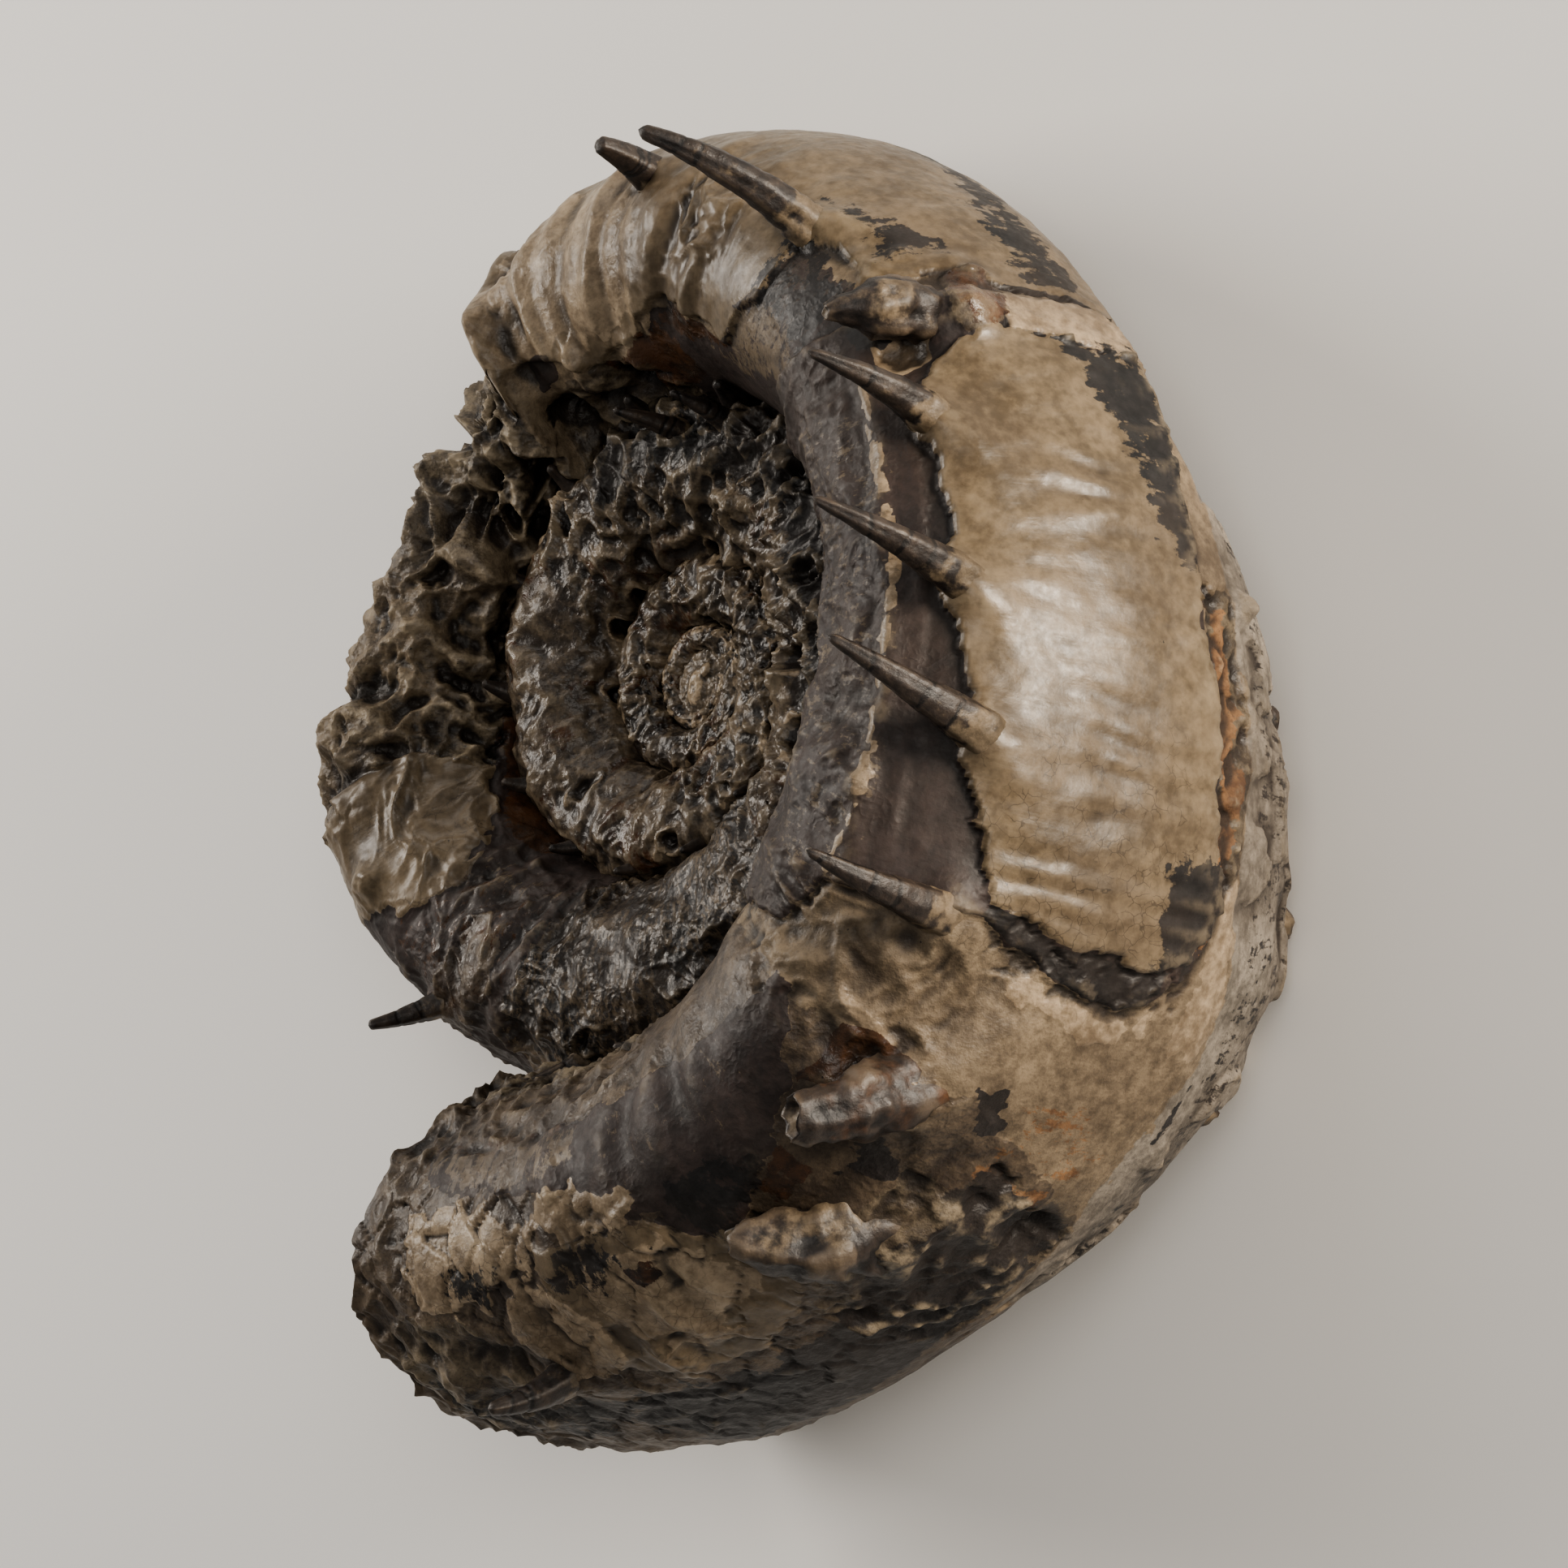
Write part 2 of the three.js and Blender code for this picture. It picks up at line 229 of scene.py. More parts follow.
def section(back, round_, lift=0.0):
    """Points of the coil's surface, lifted off it by some millimetres."""
    radius = radius_at(back)
    half = depth_at(back) * radius / 2
    turn = np.radians(MOUTH_ANGLE + back)
    s = np.sin(np.radians(round_))
    c = np.cos(np.radians(round_))
    seat = radius - half - SEAT * radius_at(back + 360)
    reach = np.where(s < 0, np.maximum(half, seat), half)
    width = np.where(c > 0, shown_at(back), hidden_at(back)) * radius
    facing = np.stack(np.broadcast_arrays(s / reach, c / width))
    facing = facing / np.linalg.norm(facing, axis=0)
    away = radius - half + reach * s + lift * facing[0]
    height = width * c + lift * facing[1]
    return np.stack(np.broadcast_arrays(away * np.cos(turn), away * np.sin(turn), height), axis=-1)


def spaced(start, end, count, density):
    """Places from start to end, closer together where the density is high."""
    fine = np.linspace(start, end, 4000)
    total = np.concatenate([[0], np.cumsum(density((fine[1:] + fine[:-1]) / 2))])
    return np.interp(np.linspace(0, total[-1], count), total, fine)


def distance_inside(outline, back, round_, stretch):
    """How far inside an outline drawn on the shell each place lies, in mm; negative outside it."""
    x = back * PATCH_ALONG * stretch
    y = round_ * MM_ROUND * stretch
    corners = [(at * PATCH_ALONG * stretch, beside * MM_ROUND * stretch) for at, beside in outline]
    nearest = np.full(np.broadcast(x, y).shape, 1e9)
    inside = np.zeros(nearest.shape, bool)
    for (x0, y0), (x1, y1) in zip(corners, corners[1:] + corners[:1]):
        dx, dy = x1 - x0, y1 - y0
        t = np.clip(((x - x0) * dx + (y - y0) * dy) / (dx * dx + dy * dy), 0, 1)
        nearest = np.minimum(nearest, np.hypot(x - x0 - t * dx, y - y0 - t * dy))
        if dy != 0:
            inside ^= ((y0 > y) != (y1 > y)) & (x < x0 + (y - y0) * dx / dy)
    return np.where(inside, nearest, -nearest)


# Millimetres per degree along the coil for the outlines of patches
PATCH_ALONG = 1.35
SOFTEST_STEP = 0.45
FINISHES = ["brown", "limestone", "worn", "wall", "crinkle", "tan", "cream"]
STAINS = ["black", "rust", "amber", "film", "cracked"]

# What covers the shell where, the later over the earlier: a finish or a stain, its outline as (back, round)
# corners, how jagged its edge is, how far it stands up and how soft its edge is in mm, and how strong it is
PATCHES = [
    # round the broken mouth and under it
    ("brown", [(-10, -181), (-10, 181), (38, 181), (46, 106), (56, 106), (58, 94), (62, 76), (65, 62),
        (66, 48), (65, 20), (66, -181)], 1.5, 0, 0.8, 1),
    # the bared far side of the belly
    ("limestone", [(46, 108), (60, 104.5), (66, 107), (71, 112), (78, 113), (84, 108.5), (90, 109),
        (100, 113), (110, 110), (118, 112), (128, 106), (134, 125), (128, 176), (40, 176)],
        1.2, 0, 0.8, 1),
    ("cream", [(72, 101), (71, 109), (74, 112), (78, 113), (83, 109), (86, 107), (86, 101), (80, 100)],
        1.8, 0, 0.8, 0.7),
    ("worn", [(86, 95), (92, 96), (99, 96), (108, 97), (109, 112), (100, 115), (88, 111), (84, 105)],
        1.2, -0.5, 0.8, 1),
    # the dark inner shell and, over it, the tan outer shell with its broken edge
    ("wall", [(60, -181), (62, -90), (66, -40), (70, -5), (76, 6), (78, 30), (78.5, 48), (76.9, 56),
        (75.6, 65), (74.4, 76), (74.1, 83), (75, 89), (76.4, 93.5), (78.4, 99), (80.4, 101.5),
        (86, 102), (92, 99), (104, 94), (136, 98), (138, 20), (142, -20), (145, -181)],
        0.7, 1.0, 0.4, 1),
    ("tan", [(83, 43), (79.6, 48), (79.2, 56), (77.9, 65), (78.0, 76), (77.4, 84), (77.6, 91),
        (79.6, 97.5), (82, 100.5), (86, 100), (90, 98), (97, 97), (104, 91), (113, 92), (120, 94),
        (129.5, 100), (130.2, 93), (130.7, 79), (131.6, 70), (132.3, 56), (131.5, 42), (129.5, 36),
        (126.5, 29), (125, 25), (121, 24.5), (118.5, 29), (110, 30.5), (107.5, 27), (103.5, 26.5),
        (101, 31), (95.5, 35), (94, 32.5), (90, 33), (88, 38)], 1.1, 0.8, 0.25, 1),
    ("cream", [(77, 6), (84, 10), (96, 8), (108, 12), (120, 9), (129, 12), (129, 14.5), (118, 11.5),
        (107, 14.5), (96, 10.5), (84, 12.5)], 1.4, 0.2, 0.3, 0.6),
    # the shell above the broken cream band, the band's streaky layers and the round knob at its end
    ("tan", [(141, 30), (141.5, 48), (141, 54), (138.3, 66), (137.7, 83), (135.9, 92), (134.1, 103),
        (140, 112), (170, 150), (225, 181), (226, 40), (224, -22), (216.5, -19), (212, -25), (208, -34),
        (200, -43), (192, -40), (188, -37), (184, -29), (178, -22), (170, -25), (163, -30),
        (160.6, -33), (157, -18), (153.4, -1.5), (153.9, 19.5), (150, 28)], 1.0, 0.8, 0.4, 1),
    ("cream", [(186, -26), (196, -34), (208, -28), (220, -18), (223, 0), (222, 34), (206, 40),
        (192, 30), (184, 6)], 3.4, 0.15, 5.0, 0.8),
    ("cream", [(132, 58), (131.5, 70), (130.5, 79), (130, 93), (129.5, 102), (133.5, 104), (135.5, 92),
        (137.3, 83), (138, 66), (138.6, 60)], 0.4, 0.7, 0.3, 1),
    ("brown", [(141.3, 51), (141, 62), (138, 61), (132.6, 57.5), (131.3, 46), (133.5, 43), (137.5, 46)],
        0.4, 0.7, 0.4, 1),
    ("cream", [(135.2, 20), (133.5, 38), (130, 36), (129, 24), (131.5, 19)], 0.5, 0.2, 0.3, 0.9),
    ("wall", [(138, -16), (140, 22), (148, 23), (153, 16), (153, 0), (158, -14)], 1.4, 0, 0.8, 1),
    ("wall", [(138, -181), (138, -10), (152, -6), (158, -24), (162, -34), (170, -30), (180, -28),
        (186, -38), (186, -60), (190, -181)], 1.3, -0.2, 0.8, 1),
    ("wall", [(210, -27), (212, -36), (219, -36), (217, -22)], 1.0, 0.2, 0.4, 1),
    ("worn", [(194, -44), (206, -44), (214, -40), (222, -42), (226, -90), (184, -90), (186, -60)],
        1.8, -0.4, 0.8, 1),
    # towards the broken mouth: the purple band, chips of pale shell, a flat plate and the rough black belly
    ("wall", [(7, -27), (22, -22), (34, -20), (42, -17), (49, -11), (56, -4), (63, 0), (66, 4),
        (66, 10), (62, 18), (58, 24), (55, 29), (50, 31), (47, 38), (44, 40), (41, 30), (40, 20),
        (35, 10), (28, -3), (20, -9), (8, -15)], 1.6, 0.3, 0.6, 1),
    ("worn", [(0, -46), (20, -50), (40, -50), (62, -54), (64, -100), (0, -100)], 1.8, 0, 0.8, 1),
    ("cream", [(8, -6), (14, -8), (22, -4), (26, 4), (24, 16), (18, 24), (10, 22), (7, 8)],
        3.2, 0.35, 0.4, 0.85),
    ("cream", [(27, -4), (34, 2), (39, 12), (36, 18), (30, 14), (26, 6)], 2.6, 0.3, 0.4, 0.7),
    ("tan", [(26, 12), (34, 16), (39, 22), (42, 32), (46, 42), (46, 52), (42, 62), (36, 66), (30, 62),
        (26, 52), (27, 40), (25, 28)], 1.2, 0.5, 0.4, 1),
    ("cream", [(29, 24), (36, 24), (41, 34), (42, 48), (37, 58), (31, 50), (29, 38)],
        3.2, 0.25, 2.5, 0.7),
    ("cream", [(20, 22), (25, 22), (28, 34), (28, 48), (25, 54), (22, 48), (19, 34)],
        1.2, 0.5, 0.4, 0.9),
    ("worn", [(3, 30), (8, 24), (14, 28), (18, 38), (17, 52), (14, 66), (6, 70), (3, 50)],
        1.6, 0.2, 0.6, 1),
    ("worn", [(42, 66), (42, 104), (55, 106), (57, 92), (60, 78), (62, 64), (54, 56), (47, 58)],
        1.6, -0.4, 0.8, 1),
    ("brown", [(61.5, 52), (65.8, 60), (62, 75), (57, 72), (57.5, 60)], 1.0, 0.5, 0.4, 1),
    ("cream", [(68.5, 24), (67, 40), (64.6, 50), (61, 53.5), (60.6, 51.5), (63.7, 48), (66, 38),
        (67.2, 24)], 0.6, 0.3, 0.3, 0.9),
    # the worn stretch and the older part of that whorl
    ("worn", [(224, -181), (224.5, -60), (225, -20), (224, 10), (223.5, 50), (224, 181), (309, 181),
        (310, 60), (306, 10), (304, -40), (302, -90), (300, -181)], 1.2, 0, 0.6, 1),
    ("wall", [(286, -181), (287, -80), (290, -70), (297, -66), (304, -62), (309, -40), (310, 10),
        (309, 60), (309, 181), (432, 181), (432, -181)], 1.2, 0, 0.5, 1),
    ("tan", [(297, -34), (301, -50), (303, -61), (312, -58), (320, -50), (326, -38), (328.5, -26),
        (327, -10), (324.5, 3), (320, 20), (316, 60), (309, 60), (305, 20), (300, 0)],
        1.6, 0.4, 0.4, 1),
    ("brown", [(338, -17), (337.5, 10), (336, 44), (342, 52), (348, 20), (349.5, 7), (347, -13),
        (342, -24)], 1.6, 0.4, 0.4, 0.95),
    ("crinkle", [(358, -62), (357, -30), (354, 10), (354, 40), (360, 90), (362, 181), (432, 181),
        (432, -181), (364, -181)], 2.2, 0, 0.8, 1),
    # a thin cream edge under the ledge, painted paler as a highlight too
    ("cream", [(75.4, 60), (73.8, 76), (73.3, 84), (74.0, 91), (72.8, 91), (71.6, 84), (71.9, 74),
        (73.6, 58)], 1.4, 0.2, 0.7, 0.75),
    # stains, which have no height of their own
    ("black", [(108, 88), (112, 80), (119, 76), (126, 70), (132, 68), (133, 84), (131, 98), (121, 98),
        (110, 97)], 2.0, 0, 4.0, 0.60),
    ("black", [(76.9, 84), (79, 83), (82, 81), (85.5, 83), (88, 94), (87, 101), (83, 104), (80.5, 103),
        (78, 99), (76.2, 94), (75, 88)], 2.6, 0, 2.6, 0.62),
    ("black", [(136, 70), (138, 96), (150, 100), (170, 108), (190, 108), (176, 88), (160, 80),
        (150, 68)], 2.5, 0, 5, 0.57),
    ("black", [(141, 34), (142, 60), (147, 62), (152, 50), (162, 40), (158, 32), (150, 30)],
        2.0, 0, 4.5, 0.53),
    ("black", [(138, -16), (141, 26), (150, 30), (158, 26), (156, -10)], 2.0, 0, 4, 0.54),
    ("black", [(40, 18), (43, 40), (49, 38), (54, 28), (48, 20), (44, 13)], 2.0, 0, 2.5, 0.56),
    ("black", [(13, 6), (13, 24), (22, 28), (23, 10)], 2.5, 0, 4.0, 0.54),
    ("black", [(26, 10), (25, 28), (32, 34), (37, 24), (34, 12)], 2.5, 0, 4.0, 0.54),
    # the belly's lower side: dark shell, painted darker still as shade where it faces down
    ("black", [(20, 58), (20, 104), (46, 106), (56, 106), (58, 92), (60, 78), (60, 66), (50, 62),
        (42, 70), (34, 70), (28, 62)], 2.0, 0, 3.0, 0.62),
    ("black", [(54, 46), (56, 60), (61, 50), (59, 44)], 1.5, 0, 1.5, 0.6),
    ("black", [(2, 44), (4, 74), (20, 80), (24, 62), (12, 44)], 2.6, 0, 3.5, 0.56),
    ("black", [(78.5, 47), (76.9, 56), (75.6, 65), (74.4, 76), (74.1, 83), (75, 89), (77.4, 90),
        (77.4, 84), (78.0, 76), (77.9, 65), (79.2, 56), (79.6, 48)], 0.3, 0, 0.4, 0.85),
    ("black", [(66.4, 59), (66.6, 67), (64.6, 69), (63.4, 73), (62.2, 70), (62.8, 63), (64.6, 62)],
        0.9, 0, 0.3, 0.8),
    ("black", [(64, 108), (63, 112), (69, 116), (71, 112)], 1.2, 0, 1.5, 0.6),
    ("black", [(134, 14), (133.5, 24), (135.2, 38), (138, 46), (141, 34), (140, 18)],
        0.8, 0, 1.0, 0.75),
    ("black", [(138.2, 62), (137.4, 83), (135.6, 92), (133.9, 103), (134.7, 104), (136.6, 92),
        (138.4, 83), (139, 66)], 0.3, 0, 0.4, 0.8),
    ("black", [(131.9, 60), (130.9, 79), (130.4, 93), (130.0, 92), (130.4, 79), (131.3, 62)],
        0.3, 0, 0.3, 0.7),
    ("black", [(148, 40), (149.5, 50), (146.5, 58), (144, 52), (145.5, 44)], 1.2, 0, 1.6, 0.7),
    # the crinkled older part of the whorl: dark shell, painted darker still as shade
    ("black", [(350, -70), (348, 40), (356, 60), (432, 60), (432, -90)], 2.5, 0, 6.0, 0.51),
    ("film", [(138, -30), (141, 26), (150, 30), (156, 22), (156, 0), (162, -34), (172, -40),
        (160, -50)], 2.0, 0, 4.0, 0.54),
    ("film", [(66, -60), (72, 20), (100, 20), (126, 18), (134, -20), (134, -70)], 2.0, 0, 4.0, 0.46),
    ("film", [(4, -34), (24, -26), (34, -20), (34, -6), (26, -4), (8, -14)], 2.0, 0, 3.0, 0.53),
    ("film", [(34, -24), (48, -14), (60, -4), (60, 14), (50, 30), (42, 24), (34, 0)],
        2.0, 0, 4.0, 0.42),
    ("film", [(258, -60), (262, 60), (306, 60), (300, 0), (296, -50)], 2.0, 0, 5.0, 0.56),
    ("film", [(24, 40), (22, 104), (50, 104), (60, 80), (60, 54), (48, 52)], 2.0, 0, 4.0, 0.42),
    ("film", [(326, -60), (328, 30), (352, 30), (354, -50)], 2.0, 0, 3.0, 0.47),
    ("rust", [(86, 95), (92, 96), (100, 97), (108, 98), (108, 110), (98, 113), (88, 109), (82, 103)],
        2.0, 0, 3, 0.62),
    ("rust", [(60, 66), (57, 100), (64, 104), (70, 84), (68, 66)], 2.5, 0, 6, 0.47),
    ("rust", [(53, 70), (53, 80), (57, 92), (60, 90), (61, 72), (60.5, 66)], 1.0, 0, 2.5, 0.55),
    ("rust", [(77, 92), (79, 103), (84, 105), (86, 98), (80, 92)], 1.0, 0, 2.5, 0.52),
    ("amber", [(141.3, 50), (141, 62), (137, 64), (132, 58), (131, 46), (136, 44)], 0.8, 0, 1.5, 0.6),
    ("amber", [(60, 26), (60, 48), (65, 50), (67, 38), (66, 28)], 1.2, 0, 1.2, 0.75),
    ("amber", [(182, -32), (188, -38), (192, -41), (201, -44), (200, -62), (190, -66), (176, -62),
        (178, -42)], 1.4, 0, 2.0, 0.70),
    ("amber", [(158, -30), (163, -32), (170, -27), (178, -25), (182, -32), (180, -40), (162, -40)],
        1.2, 0, 2.0, 0.58),
    ("amber", [(49, 34), (49, 44), (54, 42), (54, 32)], 1.2, 0, 1.2, 0.6),
    ("amber", [(34, 28), (34, 35), (37, 35), (37, 29)], 0.8, 0, 0.8, 0.6),
    ("amber", [(6, -32), (20, -30), (34, -24), (34, -16), (14, -22), (6, -26)], 1.5, 0, 2.0, 0.5),
    ("amber", [(285, -90), (287, -70), (296, -65), (303, -64), (312, -60), (321, -53), (328, -54),
        (336, -62), (337, -90)], 1.2, 0, 2.0, 0.62),
    ("amber", [(328, -40), (326, 0), (322, 40), (336, 46), (352, 40), (356, -10), (352, -44)],
        1.5, 0, 3.0, 0.47),
    ("cracked", [(76, 44), (74, 76), (78, 94), (88, 94), (96, 84), (94, 44), (86, 38)], 2.0, 0, 5, 1.0),
    ("cracked", [(4, -12), (4, 60), (38, 60), (40, 24), (34, -6)], 2.0, 0, 3, 0.8),
    ("cracked", [(57, 50), (57, 76), (65, 74), (65, 50)], 2.0, 0, 2, 0.8),
    ("cracked", [(303, -66), (306, 6), (328, 0), (326, -60)], 2.0, 0, 3, 0.8),
]


def cover(backs, rounds, jag):
    """What covers each place, in shares of the finishes and strengths of the stains, and how high it is."""
    shape = (len(backs), len(rounds))
    shares = {name: np.zeros(shape) for name in FINISHES + STAINS}
    rise = np.zeros(shape)
    for name, outline, jagged, up, edge, strength in PATCHES:
        ends = [at for at, _ in outline]
        rows = np.flatnonzero((backs > min(ends) - 10) & (backs < max(ends) + 10))
        if len(rows) == 0:
            continue
        rows = slice(rows[0], rows[-1] + 1)
        stretch = stretch_at(np.mean(ends))
        inside = distance_inside(outline, backs[rows, None], rounds[None, :], stretch)
        inside = inside + jagged * jag[rows]
        mask = smooth(-edge, edge, inside)
        step = max(edge, SOFTEST_STEP)
        rise[rows] += up * smooth(-step, step, inside)
        if name in STAINS:
            shares[name][rows] = np.maximum(shares[name][rows], strength * mask)
        else:
            for other in FINISHES:
                shares[other][rows] *= 1 - mask
            shares[name][rows] += mask
    return shares, rise


def spine_roots(back, round_):
    """The shell drawn up into each spine, running out behind it towards the belly."""
    lift = np.zeros(np.broadcast(back, round_).shape)
    for at, beside, out, older, up, root in [row[:6] for row in SPINES + STUMPS]:
        tilt = math.radians(beside)
        lean = older / max(up * math.sin(tilt) - out * math.cos(tilt), SHORTEST_REACH)
        across = (round_ - beside) * MM_ROUND * stretch_at(at)
        along = (back - at) * MM_ALONG * stretch_at(at) + np.clip(lean, -MOST_LEAN, MOST_LEAN) * across
        width = root * 1.3 + 0.2 * np.clip(across, 0, 14)
        near = np.exp(-np.abs(along / width) ** 2)
        fillet = smooth(-1.2 * root, 0.1 * root, across) * (1 - smooth(0, 4.8 * root, across)) ** 1.6
        lift += FILLET_RISE * min(root, THICKEST_ROOT) * near * fillet
    for at in REVERSE_STUBS:
        off = np.hypot((back - at) * 1.2, (round_ - REVERSE_ROUND) * MM_ROUND)
        lift += STUB_MOUND * np.exp(-((off / STUB_SPREAD) ** 2))
    return lift


def ribs(along, spacing, sway):
    """Rounded ribs across the whorl, unevenly spaced."""
    return 0.5 - 0.5 * np.cos(2 * math.pi * (along / spacing + sway))


def bent(points, size, amount, layer):
    """The same places pushed about, so that lumps worked out from them swirl."""
    push = np.stack([noise(points, size, layer + i) for i in range(3)], axis=-1)
    return (points + np.float32(amount) * push).astype(np.float32)


def swirled_ridges(points, swirl, amount, swirl_layer, size, layers, layer):
    """Sharp ridges that follow swirls, from -0.5 to 0.5."""
    return crests(bent(points, swirl, amount, swirl_layer), size, layers, layer) - 0.5


def cups(points, size, layer):
    """Round hollows that meet in sharp rims: 1 on a rim, 0 at the bottom."""
    near, _, number = chips(points, size, layer)
    return np.clip(near / 0.8, 0, 1.25) ** 1.8, number


def pitted_stone(points, strong):
    """Worn rock: hollows of several sizes that meet in thin rims, calmer where it isn't strong."""
    swirled = bent(points, 13, 5, 40)
    calm = 0.5 + 0.5 * noise(points, 22, 44)
    ridges = crests(swirled, 17, 2, 51)
    big, number = cups(bent(swirled, 6, 2.4, 50) * np.float32((1, 1, 0.8)), 5.6, 3)
    small, _ = cups(bent(points, 5, 2.0, 47), 2.7, 6)
    deep = smooth(0.6, 0.8, number) * smooth(0.6, 0.1, big)
    lift = (1.2 + 2.6 * strong) * (ridges - 0.5) + (0.7 + 1.9 * strong) * (big - 0.45)
    lift = lift + (0.6 + 0.9 * strong * calm) * (small - 0.45) - 1.8 * strong * deep
    return lift + 0.35 * rough(points, 2.4, 3, 58)


def crinkled_shell(points, size):
    """Thin shell crumpled into sharp little folds, in places only lumpy."""
    swirled = bent(points, 7 * size, 2.6 * size, 60)
    calm = smooth(-0.45, 0.45, noise(points, 15 * size, 64))
    folds = crests(swirled, 6 * size, 2, 61) - 0.5
    small = crests(swirled, 2.6 * size, 2, 65) - 0.5
    soft = noise(points, 6.5 * size, 67)
    return size * (1.7 * folds * (0.45 + 0.75 * calm) + 0.7 * small * calm**1.5 + 0.9 * soft)


ALL_ROUND = (-182, -181, 181, 182)
# Areas of the shell with forms of their own: where each fades in and out along the coil, and round it
AREAS = {
    "fine ribs": ((76, 82, 128, 140), (38, 62, 94, 106)),
    "top": ((158, 170, 222, 226), (-48, -22, 36, 62)),
    "lower whorl": ((14, 24, 56, 64), (-40, -14, 30, 54)),
    "leathery side": ((-2, -1, 36, 48), (-90, -60, -26, -16)),
    "dark strip": ((74, 82, 126, 136), ALL_ROUND),
    "wall": ((58, 70, 136, 150), (-80, -40, 4, 16)),
    "mould": ((60, 66, 75, 78), (-20, -5, 44, 60)),
    "cream band": ((129, 131, 138, 140), (56, 62, 101, 106)),
    "ledge": ((73, 75, 79, 81), (48, 54, 96, 102)),
    "older ribs": ((322, 332, 356, 366), (-70, -50, 181, 182)),
    "wrinkles": ((292, 302, 326, 334), (-75, -60, 181, 182)),
    "flakes": ((-2, -1, 40, 56), (-30, -10, 80, 100)),
}


def area(name, back, round_):
    """1 inside an area of the shell, easing to 0 round it."""
    along, around = AREAS[name]
    return span(back, *along) * span(round_, *around)


def rib_relief(back, round_, points, shell, sway):
    """Growth ribs of the tan shell, and the broad ribs of the top, lower whorl and reverse flank."""
    fine = area("fine ribs", back, round_) * shell
    uneven = 0.55 + 0.6 * noise(points, 11, 10)
    along = np.radians(back) * radius_at(back)
    lift = 0.5 * fine * uneven * (ribs(along, 3.4, sway) - 0.5)
    top = area("top", back, round_) * (1 + 0.5 * smooth(188, 204, back))
    broad = ribs(back, 13.5, 0.5 * sway + round_ / 260) ** 1.3 - 0.45
    lift += 1.5 * top * (0.75 + 0.8 * noise(points, 16, 11)) * broad
    lift += 0.35 * top * (ribs(back, 5.2, 0.8 * sway + round_ / 200) - 0.5)
    creased = np.exp(-(((back - 171) / 8) ** 2 + ((round_ - 12) / 22) ** 2))
    lift += (0.25 + 2.6 * creased) * top * swirled_ridges(points, 9, 3, 13, 9, 3, 12)
    lower = area("lower whorl", back, round_) * (0.6 + 0.7 * noise(points, 14, 14))
    lift += 1.4 * lower * (ribs(back, 8.2, 0.5 * sway + round_ / 300) - 0.5)
    reverse = smooth(132, 156, np.abs(round_)) * (1 - smooth(205, 226, back))
    return lift + 1.3 * reverse * (ribs(back - 24, 9.5, 0.3 * sway) - 0.4)


def fold_relief(back, round_, points, shell):
    """Folds of the leathery inner side, the dark strip and its wall, and of the mould below them."""
    lift = 2.2 * area("leathery side", back, round_) * swirled_ridges(points, 9, 3, 15, 9, 3, 16)
    wavy = np.exp(-(((round_ - 11 - 5 * noise(points, 18, 21)) / 4) ** 2))
    lift += 0.9 * wavy * area("dark strip", back, round_)
    step_up = smooth(20, 24, round_ + 6 * noise(points, 14, 22)) * span(back, 78, 84, 124, 132)
    lift -= 0.5 * step_up * (1 - shell)
    wall = area("wall", back, round_)
    lift += wall * (1.5 * swirled_ridges(points, 12, 4, 33, 14, 3, 31) + 0.5 * noise(points, 7, 34))
    some = smooth(-0.2, 0.3, noise(points, 15, 18))
    lift += 0.6 * wall * some * swirled_ridges(points, 4, 1.5, 19, 4.2, 2, 20)
    return lift + 1.5 * area("mould", back, round_) * swirled_ridges(points, 8, 3, 43, 8, 2, 41)


def edge_relief(back, round_, points, shell):
    """The torn end of the smooth shell, the streaky cream band and the cracked plates of the ledge."""
    torn = np.exp(-(((back - 219) / 5) ** 2)) * span(round_, -30, -16, 70, 90)
    lift = torn * (0.6 + 2.0 * noise(points, 6.5, 45))
    streaks = crests(points * np.float32((1, 1, 0.45)), 2.6, 2, 46) - 0.4
    lift += 0.32 * area("cream band", back, round_) * streaks
    ledge = area("ledge", back, round_) * (1 - shell)
    _, gap, plate = chips(bent(points, 5, 1.2, 88), 3.4, 14)
    return lift + ledge * (0.7 * (plate - 0.5) - 0.4 * smooth(0.12, 0, gap))


def worn_relief(back, round_, points, shares, sway):
    """Pitted mould, crinkled shell, and the ribs and wrinkles of the whorl's older part."""
    strong = smooth(218, 228, back) * (1 - 0.72 * smooth(250, 275, back) * smooth(-60, -30, round_)) + 0.15
    lift = shares["worn"] * pitted_stone(points, strong) + shares["crinkle"] * crinkled_shell(points, 1.0)
    old = area("older ribs", back, round_)
    lift += 1.3 * old * (0.6 + noise(points, 9, 72)) * (ribs(back, 10.0, 0.7 * sway) ** 1.5 - 0.4)
    lift += 1.5 * old * swirled_ridges(points, 7, 2.5, 73, 8, 3, 68)
    wrinkled = area("wrinkles", back, round_) * (0.45 + 0.55 * smooth(4, -30, round_))
    return lift + 1.7 * wrinkled * swirled_ridges(points, 9, 4, 48, 11, 3, 49)


def mouth_relief(back, round_, points, shares):
    """Flakes at slightly different heights round the mouth, and the craggy lumps of its rim."""
    flaky = area("flakes", back, round_) * (1 - shares["worn"]) * (1 - 0.85 * shares["wall"])
    _, gap, flake = chips(bent(points, 6, 1.6, 35), 6.2, 9)
    lift = flaky * (0.6 * (flake - 0.5) - 0.3 * smooth(0.10, 0, gap))
    craggy = (1 - smooth(3, 10, back)) + 0.5 * smooth(62, 80, round_) * (1 - smooth(24, 34, back))
    return lift + 1.8 * craggy * (crests(points, 8, 2, 37) - 0.5)


def lump_relief(back, round_, jag):
    """The named hollows and knobs."""
    lift = 0
    for at, beside, long, wide, up in LUMPS:
        x = (back - at) * MM_ALONG * stretch_at(at) / long
        y = (round_ - beside) * MM_ROUND * stretch_at(at) / wide
        lift = lift + up * np.exp(-((x * x + y * y) ** 1.3)) * (1 + 0.35 * jag)
    return lift


